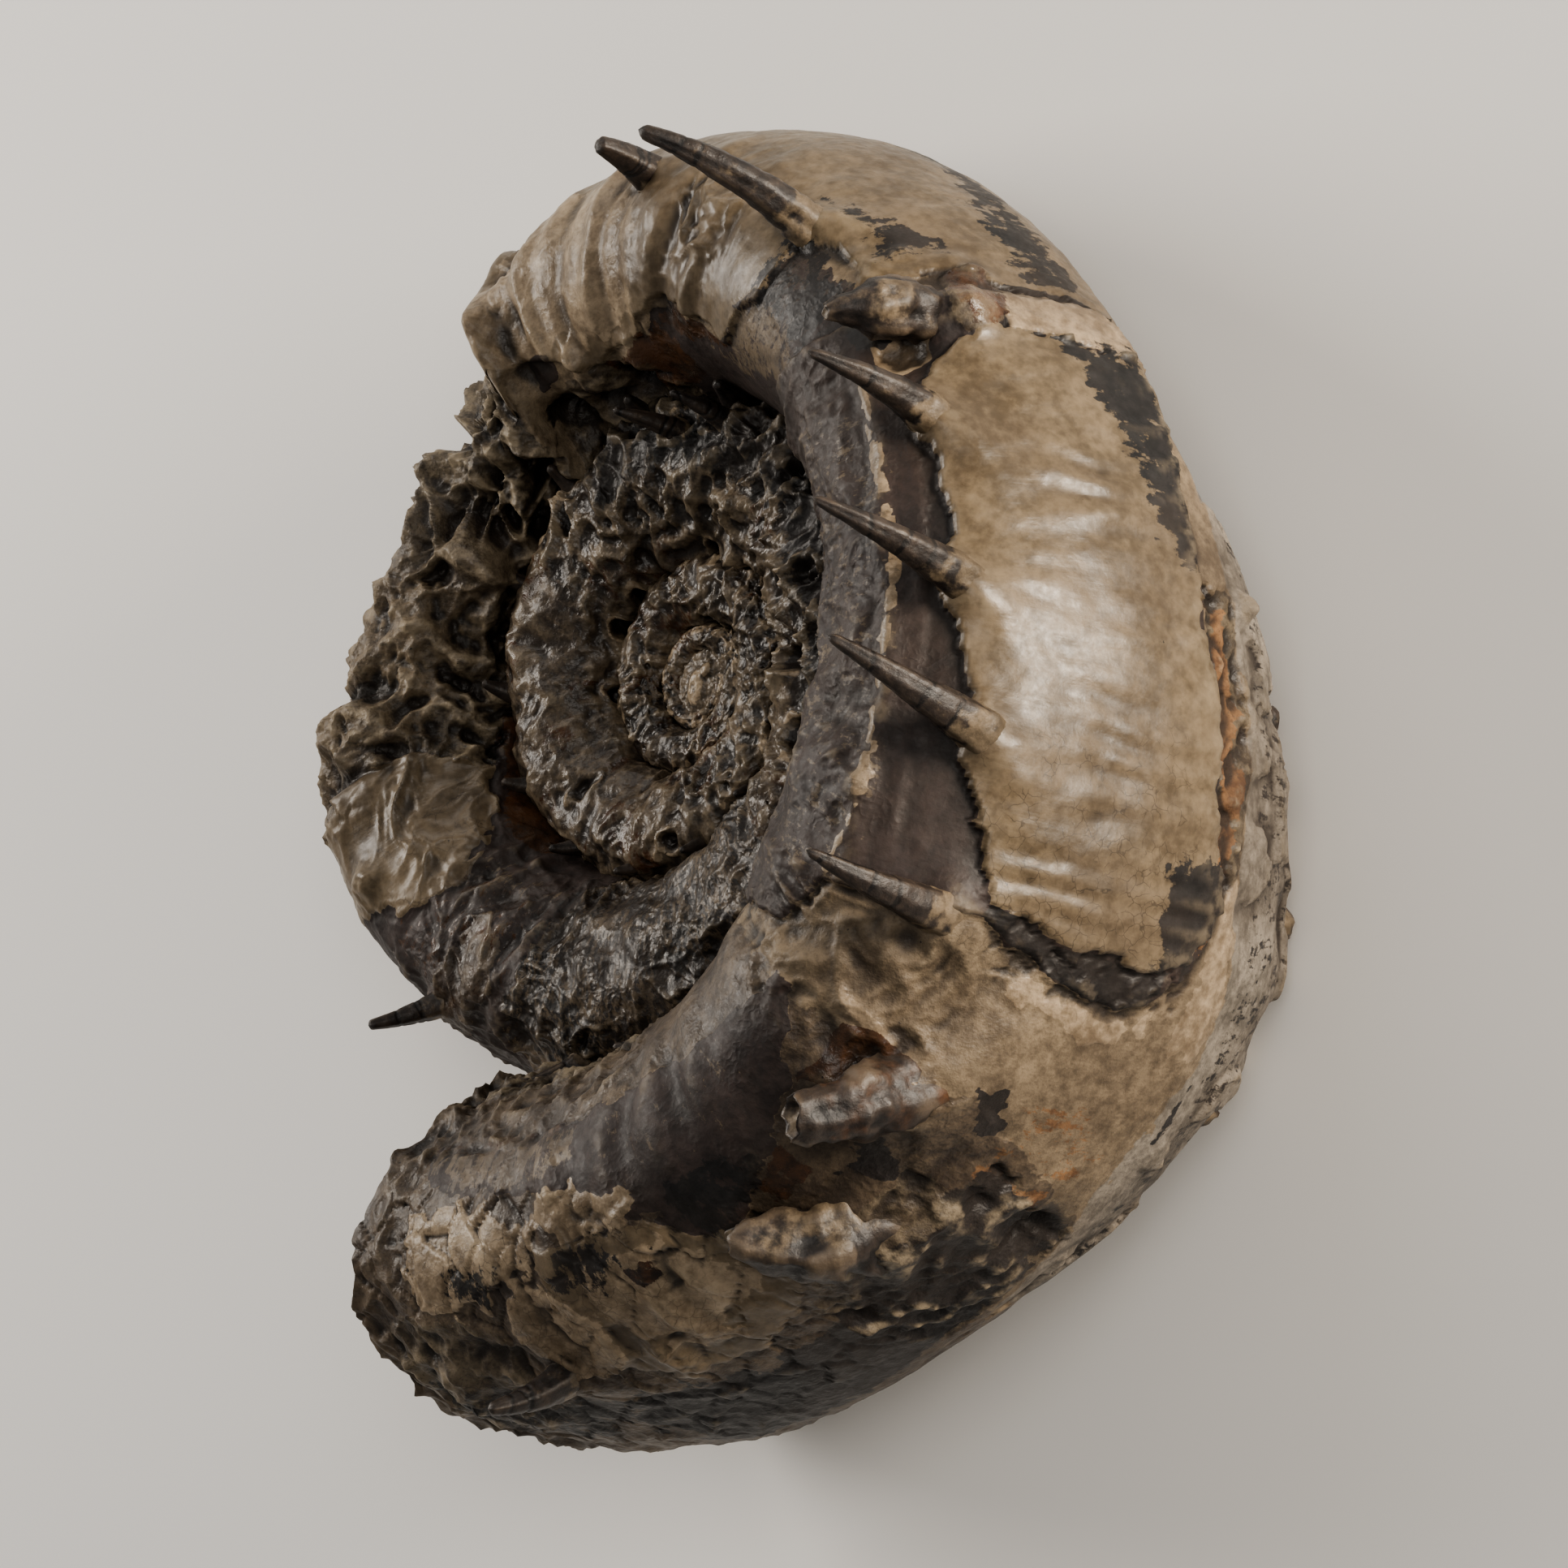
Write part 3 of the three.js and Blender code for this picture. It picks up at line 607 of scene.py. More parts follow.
def whorl_relief(backs, rounds, points, jag, shares):
    """Forms of the surface apart from the layers of shell, in mm."""
    back, round_ = backs[:, None], rounds[None, :]
    shell = shares["tan"] + shares["cream"]
    sway = noise(points, 14, 9) * 0.6
    lift = 0.4 * rough(points, 16, 2, 1) + 0.12 * rough(points, 4.5, 3, 5)
    lift = lift + rib_relief(back, round_, points, shell, sway) + fold_relief(back, round_, points, shell)
    lift += edge_relief(back, round_, points, shell) + worn_relief(back, round_, points, shares, sway)
    lift += mouth_relief(back, round_, points, shares) + spine_roots(back, round_)
    return lift + lump_relief(back, round_, jag)


# Where the smooth shell ends and the worn stretch begins
SMOOTH_SHELL_END = 224
# Hollows and knobs: back, round, spread along and across in mm, height in mm
LUMPS = [
    (218.5, -54, 5, 6, -5.0),
    (233, -45, 4, 7, -6.0),
    (240, -60, 5, 4, -3.0),
    (228, -30, 3, 7, 1.5),
    (246, -58, 4, 3, -2.5),
    (254, -40, 3, 6, 1.6),
    (272, -66, 4, 6, -4.0),
    (280, -68, 3, 4, -2.5),
    (303, 96, 7, 9, 4),
    (288, 80, 6, 7, 1.8),
    (236, 20, 5, 4, -2.2),
    (252, -10, 6, 4, -2.4),
    (263, 30, 5, 5, -2.0),
    (278, 8, 5, 4, -1.2),
    # lobes and notches along the left edge
    (221, 0, 4, 4, 2.2),
    (213, 18, 5, 6, 1.2),
    (279, 14, 3.5, 7, 2.0),
    (284.5, 12, 2.0, 7, -1.2),
    (291.5, 14, 5.5, 9, 2.4),
    (298.8, 12, 1.8, 9, -1.6),
    (303.5, 14, 3.6, 9, 1.5),
    (316.5, 10, 2.6, 4, 1.4),
    # inside the coil's edge near the top, and the belly
    (192, -46, 4, 4, 1.6),
    (198, -58, 4, 4, -3.0),
    (208, -58, 4, 4, -3.4),
    (206, -40, 3, 8, 1.4),
    (55, 93, 3, 4, -2.6),
    (39, 38, 1.6, 4, 1.3),
    (35, 46, 1.8, 5, 1.3),
    (31, 54, 1.8, 5, 1.6),
    (9, 48, 4, 6, 1.8),
    (14, 62, 4, 6, 1.4),
    (108, 116, 1.6, 1.6, 2.4),
    # the knob and the pocket beside the highest stump
    (139.6, 57, 2.6, 2.6, 1.0),
    (134.6, 51, 3.4, 3.4, 1.4),
    (132, 29, 3.2, 4.6, -2.0),
    (144, 30, 3.0, 5.0, 0.9),
    (144.9, 42.7, 1.2, 1.6, 0.7),
    (143, 55, 1.4, 2.2, 0.6),
    (60.5, 36, 4, 5, 1.6),
    (66, -20, 3, 8, -0.8),
    (87, 2, 5, 6, 1.3),
    (92, -6, 3, 6, -0.9),
]


def steep_step(back, jag):
    """Draws the drop at the end of the smooth shell together, so that it breaks off at a jagged step."""
    off = back - SMOOTH_SHELL_END + 1.3 * jag
    near = np.exp(-((off / 9) ** 4))
    sharp = 8 * np.tanh(off / 2.2)
    return back + near * (sharp - off)


def blurred(field, rows, columns):
    """The mean over a window of rows and columns; columns wrap round the section."""
    for axis, reach in ((0, rows), (1, columns)):
        if reach < 1:
            continue
        pad = [(0, 0), (0, 0)]
        pad[axis] = (reach + 1, reach)
        wide = np.pad(field, pad, mode="edge" if axis == 0 else "wrap")
        total = np.cumsum(wide, axis=axis)
        size = 2 * reach + 1
        if axis == 0:
            field = (total[size:] - total[:-size]) / size
        else:
            field = (total[:, size:] - total[:, :-size]) / size
    return field


def placed(points):
    """From the coil's frame in mm to the row frame in metres, worn flat at the surface it lies on."""
    turned = points @ np.array(REST_TURN.transposed()) + np.array(COIL_PLACE)
    turned[..., 2] = np.maximum(turned[..., 2], 0)
    return turned * MM


def grid_normals(points):
    """Which way a closed-round grid of points faces at each of them."""
    along = np.gradient(points, axis=0)
    across = np.roll(points, -1, axis=1) - np.roll(points, 1, axis=1)
    normal = np.cross(across, along)
    length = np.linalg.norm(normal, axis=-1, keepdims=True)
    return normal / np.maximum(length, 1e-12)


def tube_faces(rings, around, first=0):
    """Quads of a tube of rings."""
    ring = np.arange(rings - 1)[:, None] * around
    step = np.arange(around)[None, :]
    after = (step + 1) % around
    quads = np.stack([ring + step, ring + after, ring + around + after, ring + around + step], axis=-1)
    return quads.reshape(-1, 4) + first


def mesh_piece(name, points, faces, fields, material, normals=None):
    """One piece of the fossil from points, faces and a number field per material input."""
    mesh = bpy.data.meshes.new(name)
    mesh.from_pydata(points.reshape(-1, 3).tolist(), [], [list(f) for f in faces])
    mesh.update()
    mesh.shade_smooth()
    for label, values in fields.items():
        layer = mesh.attributes.new(label, "FLOAT", "POINT")
        layer.data.foreach_set("value", np.asarray(values, np.float32).ravel())
    if normals is not None:
        mesh.normals_split_custom_set_from_vertices(normals.reshape(-1, 3).tolist())
    mesh.materials.append(material)
    piece = bpy.data.objects.new(name, mesh)
    bpy.context.scene.collection.objects.link(piece)
    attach(piece, "root")
    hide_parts("ammonite")


# Materials. Groups hold the effects that more than one finish uses; a finish is a set of colours and values.
def shade(red, green, blue):
    """A colour given as it looks on a screen, from 0 to 255."""
    def linear(value):
        value /= 255
        return value / 12.92 if value <= 0.04045 else ((value + 0.055) / 1.055) ** 2.4

    return (linear(red), linear(green), linear(blue), 1)


def feed(tree, socket, value):
    """Sets a socket to a number or colour, or links another node's output to it."""
    if isinstance(value, bpy.types.NodeSocket):
        tree.links.new(value, socket)
    else:
        socket.default_value = value


def put(tree, kind, inputs=None, **settings):
    """Adds a node; an input may be a number, a colour or another node's output."""
    node = tree.nodes.new(kind)
    for name, value in settings.items():
        setattr(node, name, value)
    for name, value in (inputs or {}).items():
        feed(tree, node.inputs[name], value)
    return node


def calculated(tree, kind, first, second=0.0, third=0.0, clamp=False):
    """A number worked out from up to three others."""
    node = put(tree, "ShaderNodeMath", {0: first, 1: second, 2: third}, operation=kind, use_clamp=clamp)
    return node.outputs[0]


def times(tree, first, second):
    return calculated(tree, "MULTIPLY", first, second)


def plus(tree, first, second):
    return calculated(tree, "ADD", first, second)


def between(tree, value, low, high, to_low=0.0, to_high=1.0):
    """A smooth step of a value between two limits."""
    limits = {"Value": value, "From Min": low, "From Max": high, "To Min": to_low, "To Max": to_high}
    return put(tree, "ShaderNodeMapRange", limits, interpolation_type="SMOOTHSTEP").outputs["Result"]


def mixed(tree, share, first, second):
    """A colour between two."""
    node = put(tree, "ShaderNodeMix", {0: share, 6: first, 7: second}, data_type="RGBA")
    return node.outputs[2]


def weighed(tree, share, first, second):
    """A number between two."""
    node = put(tree, "ShaderNodeMix", {0: share, 2: first, 3: second}, data_type="FLOAT")
    return node.outputs[0]


def grain(tree, place, size, detail=4.0, roughness=0.55):
    """Noise of a size in mm."""
    settings = {"Vector": place, "Scale": 1 / size, "Detail": detail, "Roughness": roughness}
    return put(tree, "ShaderNodeTexNoise", settings).outputs["Fac"]


def centred(tree, value):
    """The same number, but from -0.5 to 0.5."""
    return calculated(tree, "SUBTRACT", value, 0.5)


def group(name, inputs, outputs):
    """An empty shader group with named sockets."""
    tree = bpy.data.node_groups.new(name, "ShaderNodeTree")
    for label, kind, default in inputs:
        socket = tree.interface.new_socket(name=label, in_out="INPUT", socket_type=kind)
        if default is not None:
            socket.default_value = default
    for label, kind in outputs:
        tree.interface.new_socket(name=label, in_out="OUTPUT", socket_type=kind)
    return tree, tree.nodes.new("NodeGroupInput").outputs, tree.nodes.new("NodeGroupOutput").inputs


NUMBER, COLOUR, DIRECTION = "NodeSocketFloat", "NodeSocketColor", "NodeSocketVector"
PLACE = ("Place", DIRECTION, None)


def broken_edge_group():
    """Sharpens a finish's share into a mask with a ragged edge."""
    tree, given, result = group(
        "Ragged edge", [("Share", NUMBER, 0.0), PLACE, ("Rag", NUMBER, 0.5)], [("Mask", NUMBER)]
    )
    rag = times(tree, centred(tree, grain(tree, given["Place"], 0.9, 3, 0.65)), given["Rag"])
    tree.links.new(between(tree, plus(tree, given["Share"], rag), 0.42, 0.58), result["Mask"])
    return tree


def mottle_group():
    """Two colours clouded into each other, with fine specks."""
    tree, given, result = group(
        "Clouded stone",
        [PLACE, ("Dark", COLOUR, (0.1, 0.1, 0.1, 1)), ("Light", COLOUR, (0.5, 0.5, 0.5, 1)),
         ("Specks", NUMBER, 0.3)],
        [("Colour", COLOUR)],
    )
    place, dark = given["Place"], given["Dark"]
    cloud = weighed(tree, 0.45, grain(tree, place, 9, 4, 0.6), grain(tree, place, 1.6, 3, 0.6))
    colour = mixed(tree, between(tree, cloud, 0.36, 0.66), dark, given["Light"])
    speck = times(tree, between(tree, grain(tree, place, 0.45, 1, 0.5), 0.56, 0.72), given["Specks"])
    tree.links.new(mixed(tree, speck, colour, dark), result["Colour"])
    return tree


def crack_group():
    """A net of fine cracks."""
    tree, given, result = group(
        "Crack net", [PLACE, ("Size", NUMBER, 3.0), ("Width", NUMBER, 0.03)], [("Crack", NUMBER)]
    )
    place = given["Place"]
    bend = put(tree, "ShaderNodeTexNoise", {"Vector": place, "Scale": 0.35, "Detail": 3.0})
    shifted = put(tree, "ShaderNodeVectorMath", {0: bend.outputs["Color"], 3: 2.2}, operation="SCALE")
    moved = put(tree, "ShaderNodeVectorMath", {0: place, 1: shifted.outputs[0]}, operation="ADD")
    settings = {"Vector": moved.outputs[0], "Scale": calculated(tree, "DIVIDE", 1.0, given["Size"])}
    cells = put(tree, "ShaderNodeTexVoronoi", settings, feature="DISTANCE_TO_EDGE")
    crack = between(tree, cells.outputs["Distance"], 0.0, given["Width"], 1.0, 0.0)
    broken = between(tree, grain(tree, place, 4, 3), 0.4, 0.55)
    tree.links.new(times(tree, crack, broken), result["Crack"])
    return tree


def stain_group():
    """A stain that eats into the surface in streaks and dots."""
    tree, given, result = group(
        "Blotched stain", [("Strength", NUMBER, 0.0), PLACE, ("Streaks", DIRECTION, None)],
        [("Mask", NUMBER)],
    )
    place = given["Place"]
    blotch = weighed(tree, 0.45, grain(tree, place, 5.5, 5, 0.72), grain(tree, place, 0.9, 3, 0.75))
    blotch = weighed(tree, 0.48, blotch, grain(tree, given["Streaks"], 1.3, 4, 0.7))
    level = calculated(tree, "SUBTRACT", given["Strength"], blotch)
    tree.links.new(between(tree, level, -0.02, 0.035), result["Mask"])
    return tree


def striae_group():
    """Fine growth lines that run across the whorl."""
    tree, given, result = group(
        "Growth lines", [("Along", NUMBER, 0.0), ("Across", NUMBER, 0.0)], [("Height", NUMBER)]
    )
    flat = put(tree, "ShaderNodeCombineXYZ", {"X": given["Along"], "Y": times(tree, given["Across"], 0.1)})
    narrow, wide = grain(tree, flat.outputs[0], 0.8, 2, 0.6), grain(tree, flat.outputs[0], 2.4, 2, 0.5)
    tree.links.new(weighed(tree, 0.5, narrow, wide), result["Height"])
    return tree


def crumple_group():
    """Sharp little creases, as in crumpled foil."""
    tree, given, result = group("Crumpled foil", [PLACE], [("Height", NUMBER)])
    folds = []
    for size, share in ((3.2, 0.9), (1.3, 0.5)):
        off = calculated(tree, "ABSOLUTE", centred(tree, grain(tree, given["Place"], size, 1.0, 0.5)))
        folds.append(times(tree, calculated(tree, "SUBTRACT", 0.25, off), 3.2 * share))
    tree.links.new(plus(tree, *folds), result["Height"])
    return tree


ragged = broken_edge_group()
clouded = mottle_group()
crack_net = crack_group()
blotched = stain_group()
growth_lines = striae_group()
crumpled = crumple_group()


def use(tree, what, **inputs):
    """Places a group with its own values and gives its output."""
    node = put(tree, "ShaderNodeGroup", node_tree=what)
    for name, value in inputs.items():
        feed(tree, node.inputs[name], value)
    return node.outputs[0]


# Dark and light colour, specks, roughness, how strongly fine grain stands up, and how creased it is
FINISH_LOOKS = {
    "mould": (shade(84, 72, 57), shade(137, 121, 99), 0.4, 0.55, 0.55, 0.12),
    "brown": (shade(50, 41, 33), shade(102, 88, 71), 0.45, 0.48, 0.4, 0.45),
    "limestone": (shade(84, 78, 70), shade(142, 133, 121), 0.4, 0.68, 0.5, 0.15),
    "worn": (shade(44, 36, 28), shade(108, 96, 78), 0.5, 0.5, 0.6, 0.45),
    "wall": (shade(34, 27, 25), shade(59, 48, 44), 0.15, 0.58, 0.16, 0.4),
    "crinkle": (shade(33, 27, 22), shade(110, 97, 80), 0.3, 0.37, 0.35, 0.62),
    "tan": (shade(82, 70, 53), shade(121, 106, 85), 0.12, 0.38, 0.08, 0.04),
    "cream": (shade(106, 91, 72), shade(166, 148, 124), 0.3, 0.42, 0.3, 0.3),
}
# Stains, from the lowest up: dark and light colour, specks, roughness, and how far they cover
STAIN_LOOKS = {
    "film": (shade(74, 63, 50), shade(118, 103, 82), 0.3, 0.5, 0.85),
    "rust": (shade(80, 54, 34), shade(138, 104, 72), 0.5, 0.8, 1),
    "amber": (shade(31, 21, 16), shade(84, 56, 36), 0.2, 0.3, 1),
    "black": (shade(11, 10, 10), shade(38, 35, 34), 0.4, 0.5, 1),
}
# Spines: the dark and light colour and the specks of the shell, of its pale root and broken end and of its
# upper side painted paler as a highlight, and where it is honey brown
SPINE_LOOKS = {
    "brown": (shade(27, 22, 20), shade(64, 54, 46), 0.2),
    "pale": (shade(76, 65, 50), shade(124, 109, 89), 0.3),
    "honey": (shade(30, 21, 15), shade(86, 57, 35), 0.2),
}
# Dirt and painted shade for hollows, polish and painted highlight for crests, clouds, flecks and cracks; then
# the same shade and highlight for the spines
DIRT_AND_SHADE = shade(20, 16, 14)
POLISH_AND_HIGHLIGHT = shade(146, 132, 110)
CLOUD = shade(62, 50, 40)
FLECK = shade(28, 24, 22)
CRACK = shade(38, 31, 26)
SPINE_DIRT_AND_SHADE = shade(14, 11, 10)
SPINE_POLISH_AND_HIGHLIGHT = shade(112, 97, 80)
STONE_GLOSS = 0.42


def read(tree, label):
    return put(tree, "ShaderNodeAttribute", attribute_name=label).outputs["Fac"]


def new_material(name):
    """An empty material: its node tree, its shader, and the place on the fossil in mm."""
    material = bpy.data.materials.new(name)
    material.use_nodes = True
    tree = material.node_tree
    object_place = put(tree, "ShaderNodeTexCoord").outputs["Object"]
    place = put(tree, "ShaderNodeVectorMath", {0: object_place, 3: 1 / MM}, operation="SCALE").outputs[0]
    return material, tree, tree.nodes["Principled BSDF"], place


def stone(tree, place, dark, light, specks):
    return use(tree, clouded, Place=place, Dark=dark, Light=light, Specks=specks)


def covered(tree, place):
    """Colour and roughness of each finish over the one below it, and of the stains over them."""
    colour, roughness = stone(tree, place, *FINISH_LOOKS["mould"][:3]), FINISH_LOOKS["mould"][3]
    for finish in FINISHES:
        mask = use(tree, ragged, Share=read(tree, finish), Place=place, Rag=0.7)
        colour = mixed(tree, mask, colour, stone(tree, place, *FINISH_LOOKS[finish][:3]))
        roughness = weighed(tree, mask, roughness, FINISH_LOOKS[finish][3])
    across = times(tree, read(tree, "across"), 0.3)
    streaks = put(tree, "ShaderNodeCombineXYZ", {"X": read(tree, "along"), "Y": across}).outputs[0]
    for stain, (dark, light, specks, own_roughness, cover_share) in STAIN_LOOKS.items():
        mask = use(tree, blotched, Strength=read(tree, stain), Place=place, Streaks=streaks)
        share = times(tree, mask, cover_share)
        colour = mixed(tree, share, colour, stone(tree, place, dark, light, specks))
        roughness = weighed(tree, mask, roughness, own_roughness)
    return colour, roughness


def weathered_and_shaded(tree, place, colour):
    """Painted shade and dirt in hollows, paler crests (polish and painted highlight), broad clouds, scattered
    flecks, cracks in the shell.
    """
    hollow = read(tree, "hollow")
    # painted shade and dirt: the further a place sits below the surface round it, the darker it is painted
    colour = mixed(tree, times(tree, between(tree, hollow, -0.08, -0.85), 0.88), colour, DIRT_AND_SHADE)
    # painted highlight and worn polish: crests are painted paler, most of all on worn stone
    crest = times(tree, between(tree, hollow, 0.12, 0.9), between(tree, grain(tree, place, 2.5), 0.38, 0.62))
    crest = times(tree, crest, calculated(tree, "MULTIPLY_ADD", read(tree, "worn"), 0.4, 0.38))
    colour = mixed(tree, crest, colour, POLISH_AND_HIGHLIGHT)
    clouds = between(tree, grain(tree, place, 21, 3), 0.38, 0.6)
    colour = mixed(tree, times(tree, clouds, 0.26), colour, CLOUD)
    flecks = between(tree, grain(tree, place, 1.7, 3, 0.6), 0.70, 0.76)
    areas = between(tree, grain(tree, place, 13, 3, 0.5), 0.48, 0.6)
    colour = mixed(tree, times(tree, flecks, areas), colour, FLECK)
    cracks = times(tree, use(tree, crack_net, Place=place, Size=1.9, Width=0.045), read(tree, "cracked"))
    return mixed(tree, times(tree, cracks, 0.6), colour, CRACK)


def fine_height(tree, place):
    """Grit, small lumps, growth lines and creases, for the bump."""
    fine = read(tree, "fine")
    grit = times(tree, grain(tree, place, 0.45, 2, 0.62), fine)
    lumps = times(tree, grain(tree, place, 2.0, 3, 0.5), plus(tree, fine, 0.25))
    lines = use(tree, growth_lines, Along=read(tree, "along"), Across=read(tree, "across"))
    height = plus(tree, times(tree, plus(tree, grit, lumps), 0.5), times(tree, lines, 0.16))
    return plus(tree, height, times(tree, use(tree, crumpled, Place=place), read(tree, "creased")))


def finish_material(material, tree, shader, colour, roughness, bump):
    """Connects what changes over the surface to the shader."""
    tree.links.new(colour, shader.inputs["Base Color"])
    tree.links.new(roughness, shader.inputs["Roughness"])
    tree.links.new(put(tree, "ShaderNodeBump", bump).outputs["Normal"], shader.inputs["Normal"])
    return material


def fossil_material():
    """The stone of the whorls: finishes, stains, weather with painted shade in hollows and painted highlights
    on crests, and fine grain.
    """
    material, tree, shader, place = new_material("Fossil shell and stone")
    colour, roughness = covered(tree, place)
    colour = weathered_and_shaded(tree, place, colour)
    shift = times(tree, centred(tree, grain(tree, place, 1.3, 3, 0.62)), 0.42)
    roughness = calculated(tree, "ADD", roughness, shift, clamp=True)
    shader.inputs["Specular IOR Level"].default_value = STONE_GLOSS
    bump = {"Height": fine_height(tree, place), "Strength": 0.6, "Distance": 0.6 * MM}
    return finish_material(material, tree, shader, colour, roughness, bump)


def spine_material():
    """Dark brown, glossy, with a pale root and broken end, crests and upper side painted paler as a
    highlight, hollows painted darker as shade and dirt, lengthwise lines and cracks across.
    """
    material, tree, shader, place = new_material("Spine")
    colour = stone(tree, place, *SPINE_LOOKS["brown"])
    hollow = read(tree, "hollow")
    # painted highlight on the crests, then painted shade and dirt in hollows, cracks and the broken end
    colour = mixed(tree, between(tree, hollow, 0.15, 0.9, 0.0, 0.5), colour, SPINE_POLISH_AND_HIGHLIGHT)
    colour = mixed(tree, between(tree, hollow, -0.1, -0.7, 0.0, 0.85), colour, SPINE_DIRT_AND_SHADE)
    # the pale root, broken end and upper side painted paler as a highlight, then the honey brown parts
    for label, look, blotches, low, high in (
        ("pale_root_and_lit_top", "pale", grain(tree, place, 1.6, 5, 0.65), 0.3, 0.7),
        ("honey", "honey", grain(tree, place, 3.5), 0.45, 0.75),
    ):
        level = plus(tree, read(tree, label), centred(tree, blotches))
        share = between(tree, level, low, high)
        colour = mixed(tree, share, colour, stone(tree, place, *SPINE_LOOKS[look]))
    roughness = calculated(tree, "MULTIPLY_ADD", grain(tree, place, 1.2, 3), 0.3, 0.31)
    height = times(tree, grain(tree, place, 0.6, 5, 0.6), 0.5)
    bump = {"Height": height, "Strength": 0.5, "Distance": 0.4 * MM}
    return finish_material(material, tree, shader, colour, roughness, bump)


def surface_grain(shares, points):
    """How strongly fine grain and creases stand up at each point, from the finishes that cover it."""
    parts = {name: shares[name] for name in FINISHES}
    parts["mould"] = 1 - sum(parts.values())
    fine, creased = (sum(FINISH_LOOKS[name][column] * parts[name] for name in parts) for column in (4, 5))
    tight = 0.35 + 0.75 * smooth(-0.25, 0.25, noise(np.asarray(points, np.float32), 8, 17))
    return {"fine": fine, "creased": creased * tight}


fossil_stone = fossil_material()
spine_stone = spine_material()


def wear_far_side(shares, plain, jag):
    """Wears the belly's far strip and the reverse flank through the shell, and tells where."""
    far = np.clip(smooth(106, 122, rounds) + smooth(-90, -112, rounds), 0, 1)[None, :]
    bare = smooth(-0.12, -0.02, rough(plain, 24, 3, 81) + 0.12 * jag)
    bare = far * bare * (1 - smooth(205, 224, backs))[:, None]
    for name in FINISHES:
        shares[name] = shares[name] * (1 - bare)
    pale_side = span(backs, 30, 60, 130, 165)[:, None]
    shares["limestone"] += bare * pale_side
    shares["brown"] += bare * (1 - pale_side)
    # the far side of the belly and the reverse flank, up to the worn stretch, are darkened with black
    far_side_black = 0.47 * far * (1 - smooth(224, 240, backs))[:, None]
    shares["black"] = np.maximum(shares["black"], far_side_black)
    return bare


def finished_surface(lift, jag):
    """The surface with an uneven rim at the mouth and a jagged step where the smooth shell ends."""
    rim = section(np.zeros((1, 1)), rounds[None, :]).astype(np.float32)
    crag = 2.0 + 2.2 * noise(rim, 9, 91)[0] + 1.2 * noise(rim, 3, 92)[0]
    crag_degrees = np.degrees(np.clip(crag, 0.2, 5) / radius_at(0.0))
    shown = backs[:, None] + crag_degrees[None, :] * (1 - smooth(0, 14, backs))[:, None]
    stepped = steep_step(shown, jag)
    points = section(stepped, np.broadcast_to(rounds[None, :], stepped.shape), lift)
    # stepping changes how far along the shape is read, not where it stands
    turn = np.radians(shown - stepped)
    x, y, z = np.moveaxis(points, -1, 0)
    spun = (x * np.cos(turn) - y * np.sin(turn), x * np.sin(turn) + y * np.cos(turn), z)
    return placed(np.stack(spun, axis=-1))


def hollows_in(lift):
    """How each place stands against the surface round it: above 0 on crests, below it in hollows."""
    rows = max(1, round(NEARBY * len(backs) / COIL_LENGTH))
    columns = max(1, round(NEARBY / POINT_GAP * DETAIL))
    near = (lift - blurred(lift, rows, columns)) / 0.55
    wide = (lift - blurred(lift, 3 * rows, 3 * columns)) / 1.6
    return np.clip(0.65 * near + 0.6 * wide, -DEEPEST, DEEPEST)


def cut_pieces(starts, rings, points, fields):
    """Cuts a grid of the coil into named pieces that share their end rings and the way these face."""
    normals = grid_normals(points)
    cuts = [int(np.searchsorted(rings, start)) for start in starts.values()] + [len(rings) - 1]
    for name, first, last in zip(starts, cuts, cuts[1:]):
        rows = slice(first, last + 1)
        own_fields = {label: values[rows] for label, values in fields.items()}
        faces = tube_faces(last + 1 - first, points.shape[1])
        mesh_piece(name, points[rows], faces, own_fields, fossil_stone, normals[rows])


# The last one and a fifth whorls, worked out as one grid and cut into pieces
COIL_LENGTH = 548
POINT_GAP = 0.55
NEARBY = 2.2
DEEPEST = 1.5
backs = spaced(0, 430, RINGS_ALONG, radius_at)
rounds = spaced(-180, 180, POINTS_ROUND + 1, lambda at: 1 + 1.1 * span(at, -110, -80, 112, 135))[:-1]
plain = section(backs[:, None], rounds[None, :]).astype(np.float32)
_, _, chip_number = chips(plain, 3.4, 1)
jag = 0.9 * (chip_number - 0.5) + 0.8 * noise(plain, 4.2, 71) + 0.45 * noise(plain, 1.5, 72)
shares, layer_height = cover(backs, rounds, jag)
bare = wear_far_side(shares, plain, jag)
lift = layer_height - 0.9 * bare + whorl_relief(backs, rounds, plain, jag, shares)
surface = finished_surface(lift, jag)
last_whorl_fields = {
    **shares,
    **surface_grain(shares, plain),
    "hollow": hollows_in(lift),
    "along": np.broadcast_to(backs[:, None] * MM_ALONG, lift.shape),
    "across": np.broadcast_to(rounds[None, :] * MM_ROUND, lift.shape),
}
LAST_WHORL_STARTS = {"mouth_stretch": 0, "spiny_stretch": 84, "ribbed_stretch": 170, "worn_stretch": 262}
cut_pieces(LAST_WHORL_STARTS, backs, surface, last_whorl_fields)

